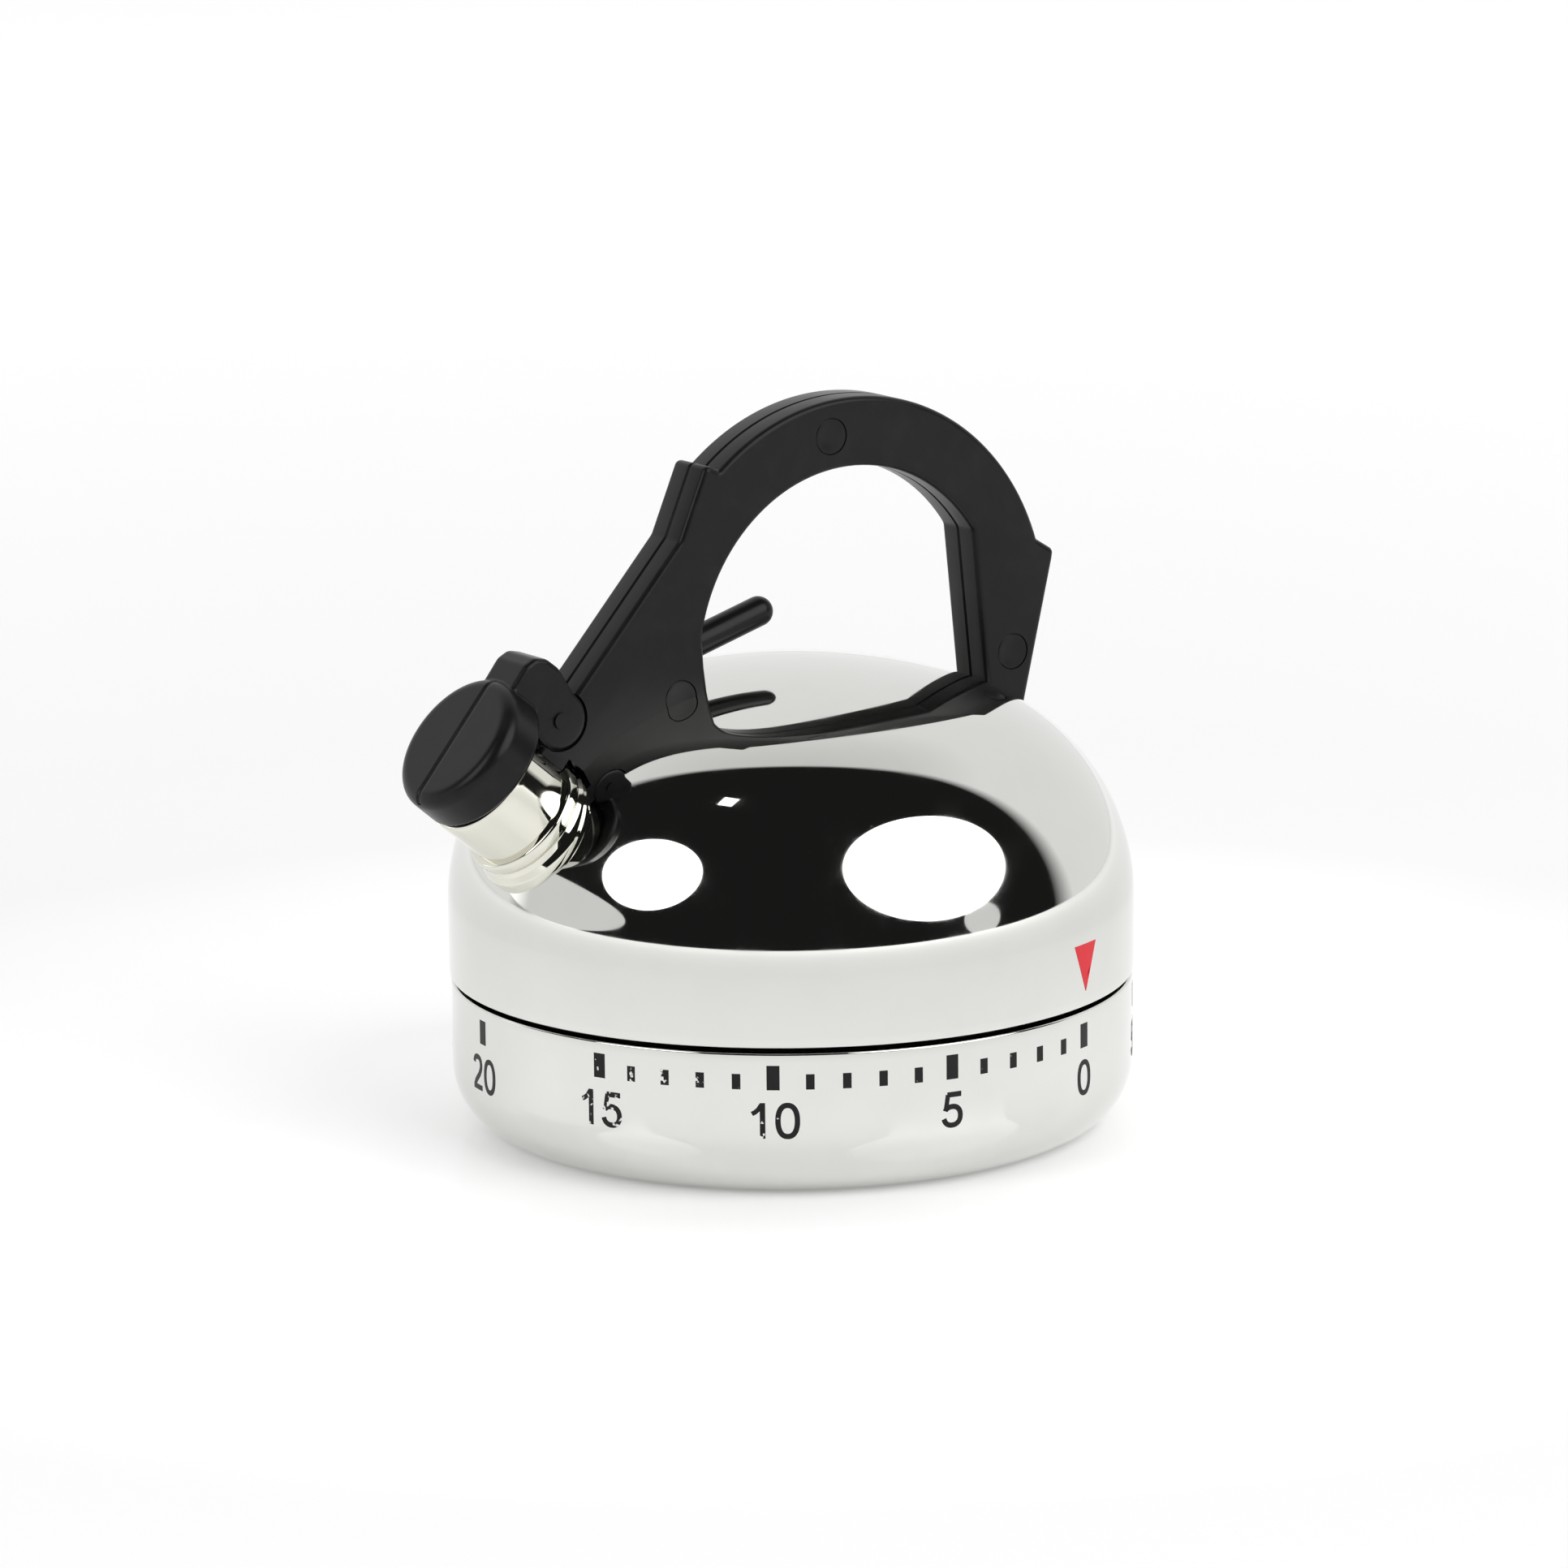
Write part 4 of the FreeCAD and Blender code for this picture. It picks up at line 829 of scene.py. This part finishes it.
def make_cap():
    edge = 1.35
    puck = [(0, -CAP_DEPTH), (CAP_RADIUS - 0.4, -CAP_DEPTH), (CAP_RADIUS, -CAP_DEPTH + 0.4)]
    puck += arc((CAP_RADIUS - edge, -edge), edge, 0, 90, 10) + [(0, 0.0)]
    body = turned("cap_puck", puck, 128, spout_frame(CAP_LIFT))
    layers = edge_layers(-HALF, 0, 0.5)[:-1] + edge_layers(HALF, 0, 0.5)[-2::-1]
    arm = plate("cap_arm", arm_line(), layers)
    cheeks = rod_along_y("cap_cheeks", CHEEK_RADIUS, -HALF, HALF, *PIVOT, 96)
    body = remoulded(gathered("cap_mould", body, arm, cheeks), CAP_GRID)
    part_line(body)
    gap = TONGUE_THICK / 2 + SLOT_PLAY
    bore = [(0, -(CAP_DEPTH + 1)), (CAP_BORE, -(CAP_DEPTH + 1)), (CAP_BORE, -CAP_WALL), (0, -CAP_WALL)]
    wide = SPOUT_RADIUS + 0.2
    space = [(0, -(CAP_DEPTH + 12)), (wide, -(CAP_DEPTH + 12)), (wide, -CAP_DEPTH), (0, -CAP_DEPTH)]
    body = combine(body, "DIFFERENCE",
                   turned("cap_bore", bore, 96, spout_frame(CAP_BORE_LIFT)),
                   rod_along_y("tongue_space", KNUCKLE_RADIUS + 0.7, -gap, gap, *PIVOT),
                   turned("barrel_space", space, 96, spout_frame()))
    shown("spout_cap", body, BLACK, "cap", ["whistle_cap"])


def remoulded(mesh, grid):
    """The mesh remade on an even grid with its edges softened."""
    piece = bpy.data.objects.new("work", mesh)
    bpy.context.scene.collection.objects.link(piece)
    even = piece.modifiers.new("even", "REMESH")
    even.mode = "VOXEL"
    even.voxel_size = grid * MM
    soft = piece.modifiers.new("soft", "SMOOTH")
    soft.factor = 0.5
    soft.iterations = 5
    result = baked(piece)
    bpy.data.objects.remove(piece)
    return result


def part_line(mesh, width=0.28, depth=0.16):
    """Presses the mould's parting groove into the cap's outside, along the middle plane."""
    back = Vector((SPOUT_FACE[0], 0, SPOUT_FACE[1])) * MM
    way = Vector((-math.cos(SPOUT_TILT), 0, math.sin(SPOUT_TILT)))
    for vertex in mesh.vertices:
        share = abs(vertex.co.y) / (width * MM)
        if share < 1 and (vertex.co - back).dot(way) > -CAP_WALL * 0.6 * MM:
            vertex.co -= vertex.normal * depth * MM * (1 - share ** 2)


def make_lever():
    def spot(along, across):
        return (PIVOT[0] + along * math.cos(ROD_SLOPE) - across * math.sin(ROD_SLOPE),
                PIVOT[1] + along * math.sin(ROD_SLOPE) + across * math.cos(ROD_SLOPE))

    line = rounded([(*spot(a, u), r) for a, u, r in (
        (0, -ROD_RADIUS, 0), (ROD_START + 1, -ROD_RADIUS, 0.3),
        (ROD_START + 1, ROD_RADIUS, 0.3), (0, ROD_RADIUS, 0))])
    web = plate("lever_web", line, [(-LEVER_THICK / 2, 0), (LEVER_THICK / 2, 0)])
    hub = rod_along_y("lever_hub", KNUCKLE_RADIUS - 0.1, -LEVER_THICK / 2, LEVER_THICK / 2, *PIVOT)
    end = ROD_REACH - ROD_RADIUS
    rod = [(0, ROD_START), (ROD_RADIUS - 0.2, ROD_START), (ROD_RADIUS, ROD_START + 0.2)]
    rod += [(ROD_RADIUS, ROD_START + (end - ROD_START) * i / 6) for i in range(1, 6)]
    rod += arc((0, end), ROD_RADIUS, 0, 90, 12)
    rod[-1] = (0, ROD_REACH)
    place = Matrix.Translation((PIVOT[0], 0, PIVOT[1])) @ Matrix.Rotation(math.pi / 2 - ROD_SLOPE, 4, "Y")
    mesh = combine(turned("lever_rod", rod, 64, place), "UNION", web, hub)
    mesh = combine(mesh, "DIFFERENCE", rod_along_y("lever_hole", PIVOT_RADIUS, -3, 3, *PIVOT))
    shown("whistle_lever", mesh, BLACK, "cap", ["trigger_lever"])


make_dome()
make_ring()
make_scale()
make_handle()
make_spout()
make_cap()
make_lever()


# ---------------------------------------------------------------- studio

FACING = math.radians(-35)
HEIGHT_ANGLE = math.radians(12.43)
FRONT = Matrix.Rotation(FACING, 3, "Z")
CAMERA_LENS = 170.44
CAMERA_AIM = (-0.578, 0, 33.571)
CAMERA_DISTANCE = 0.7335
CAMERA_ROLL = math.radians(-0.58)
SOFT_GLOW = 3.0
CARD_GLOW = 0.8


def from_front(turn, rise):
    """The direction at turn degrees to the right of the camera and rise degrees up."""
    a, e = math.radians(turn), math.radians(rise)
    return FRONT @ Vector((math.sin(a) * math.cos(e), -math.cos(a) * math.cos(e), math.sin(e)))


def make_camera():
    data = bpy.data.cameras.new("camera")
    data.lens = CAMERA_LENS
    data.sensor_width = 36
    data.clip_start = 0.05
    data.clip_end = 20
    camera = bpy.data.objects.new("camera", data)
    bpy.context.scene.collection.objects.link(camera)
    aim = FRONT @ Vector(CAMERA_AIM) * MM
    back = FRONT @ Vector((0, -math.cos(HEIGHT_ANGLE), math.sin(HEIGHT_ANGLE)))
    camera.location = aim + back * CAMERA_DISTANCE
    camera.rotation_mode = "QUATERNION"
    roll = Matrix.Rotation(CAMERA_ROLL, 3, "Z").to_quaternion()
    camera.rotation_quaternion = (-back).to_track_quat("-Z", "Y") @ roll
    bpy.context.scene.camera = camera


def make_floor():
    """A pale matt floor with a faint mirror gloss close round the base. Its emission is painted light: full
    within 55 mm of the middle, where it fills the object's shadow, gone by 130 mm, and rising again from
    180 mm to brighten the far floor.
    """
    rings = [0.0, 0.1, 0.2, 0.4, 0.8, 1.6, 4.0]
    steps = 96
    points = []
    for radius in rings[1:]:
        points += [(radius / MM * math.cos(2 * math.pi * s / steps),
                    radius / MM * math.sin(2 * math.pi * s / steps), 0) for s in range(steps)]
    faces = [list(range(steps))]
    for ring in range(len(rings) - 2):
        for s in range(steps):
            t = (s + 1) % steps
            faces.append([ring * steps + s, ring * steps + t,
                          (ring + 1) * steps + t, (ring + 1) * steps + s])
    mesh = mesh_of("floor", points, faces)
    floor = bpy.data.objects.new("floor", mesh)
    bpy.context.scene.collection.objects.link(floor)
    material, shader, surface = finish_named("pale_floor", {
        "Base Color": colour(0.90, 0.90, 0.90), "Specular IOR Level": 0.0, "Roughness": 0.9,
        "Coat IOR": 1.3, "Coat Roughness": 0.03, "Emission Strength": 0.20})
    reach = shader.add("ShaderNodeVectorMath", {"operation": "LENGTH"}, {0: shader.place()}, "Value")
    sheen = shader.ramp(reach * (1 / (100 * MM)), (0.34, 1.0), (0.64, 0.0))
    # Painted light: the emission colour lights the floor near the base to fill the object's shadow, and
    # brightens the floor again further out.
    glow = shader.ramp(reach, (0.055, 1.0), (0.13, 0.0), (0.18, 0.0), (0.70, 0.9))
    drive(shader, surface, Coat_Weight=sheen * 0.7, Emission_Color=glow)
    mesh.materials.append(material)


def soft_light(name, turn, rise, wide, tall, glow, shape="ELLIPSE", lean=0, distance=3.0):
    """A soft box whose angular half sizes are wide and tall, in degrees."""
    data = bpy.data.lights.new(name, "AREA")
    data.shape = shape
    data.size = 2 * distance * math.tan(math.radians(wide))
    data.size_y = 2 * distance * math.tan(math.radians(tall))
    area = data.size * data.size_y * (math.pi / 4 if shape == "ELLIPSE" else 1)
    data.energy = glow * math.pi * area
    lamp = bpy.data.objects.new(name, data)
    bpy.context.scene.collection.objects.link(lamp)
    way = from_front(turn, rise)
    lamp.location = way * distance + Vector((0, 0, 0.03))
    lamp.rotation_mode = "QUATERNION"
    leaning = Matrix.Rotation(math.radians(lean), 3, "Z").to_quaternion()
    lamp.rotation_quaternion = (-way).to_track_quat("-Z", "Y") @ leaning
    lamp.visible_camera = False


def overhead_light():
    """Wide soft light from above that whitens the floor and isn't mirrored."""
    data = bpy.data.lights.new("overhead", "SUN")
    data.energy = 0.9
    data.angle = math.radians(110)
    lamp = bpy.data.objects.new("overhead", data)
    bpy.context.scene.collection.objects.link(lamp)
    lamp.visible_glossy = False


def make_room():
    """A white cove behind and a dark room in front, seen only in reflections."""
    world = bpy.data.worlds.new("studio")
    world.use_nodes = True
    bpy.context.scene.world = world
    room = Shader(world.node_tree)
    way = room.add("ShaderNodeTexCoord", output="Generated")
    ahead = from_front(0, 0)
    depth = room.add("ShaderNodeVectorMath", {"operation": "DOT_PRODUCT"},
                     {0: way, 1: tuple(ahead)}, "Value")
    height = room.add("ShaderNodeSeparateXYZ", None, {0: way}, "Z")
    dark = room.ramp((depth + 0.23) / (0.18 - height * 0.16) + 0.5, (0.0, 0.0), (1.0, 1.0))
    high = room.ramp(height, (0.72, 0.0), (1.0, 1.0))
    cove = 0.94 - high * 0.24
    lit = cove - dark * (cove - 0.012)
    seen = room.add("ShaderNodeLightPath", output="Is Camera Ray")
    strength = lit + seen * (1.0 - lit)
    background = world.node_tree.nodes["Background"]
    background.inputs["Color"].default_value = colour(1, 1, 1)
    room.tree.links.new(strength.socket, background.inputs["Strength"])


def make_studio():
    make_camera()
    make_floor()
    make_room()
    overhead_light()
    soft_light("soft_box_right", 54, 33, 28, 25, SOFT_GLOW)
    soft_light("soft_box_left", -54, 31, 17, 17, SOFT_GLOW)
    soft_light("small_window", -60, 73, 1.9, 2.3, SOFT_GLOW, "RECTANGLE", 25)
    soft_light("pale_card_left", -85, 8, 28, 9, CARD_GLOW)
    soft_light("pale_card_right", 66, 5, 7, 7, CARD_GLOW)
    bpy.context.scene.view_settings.view_transform = "Standard"


make_studio()
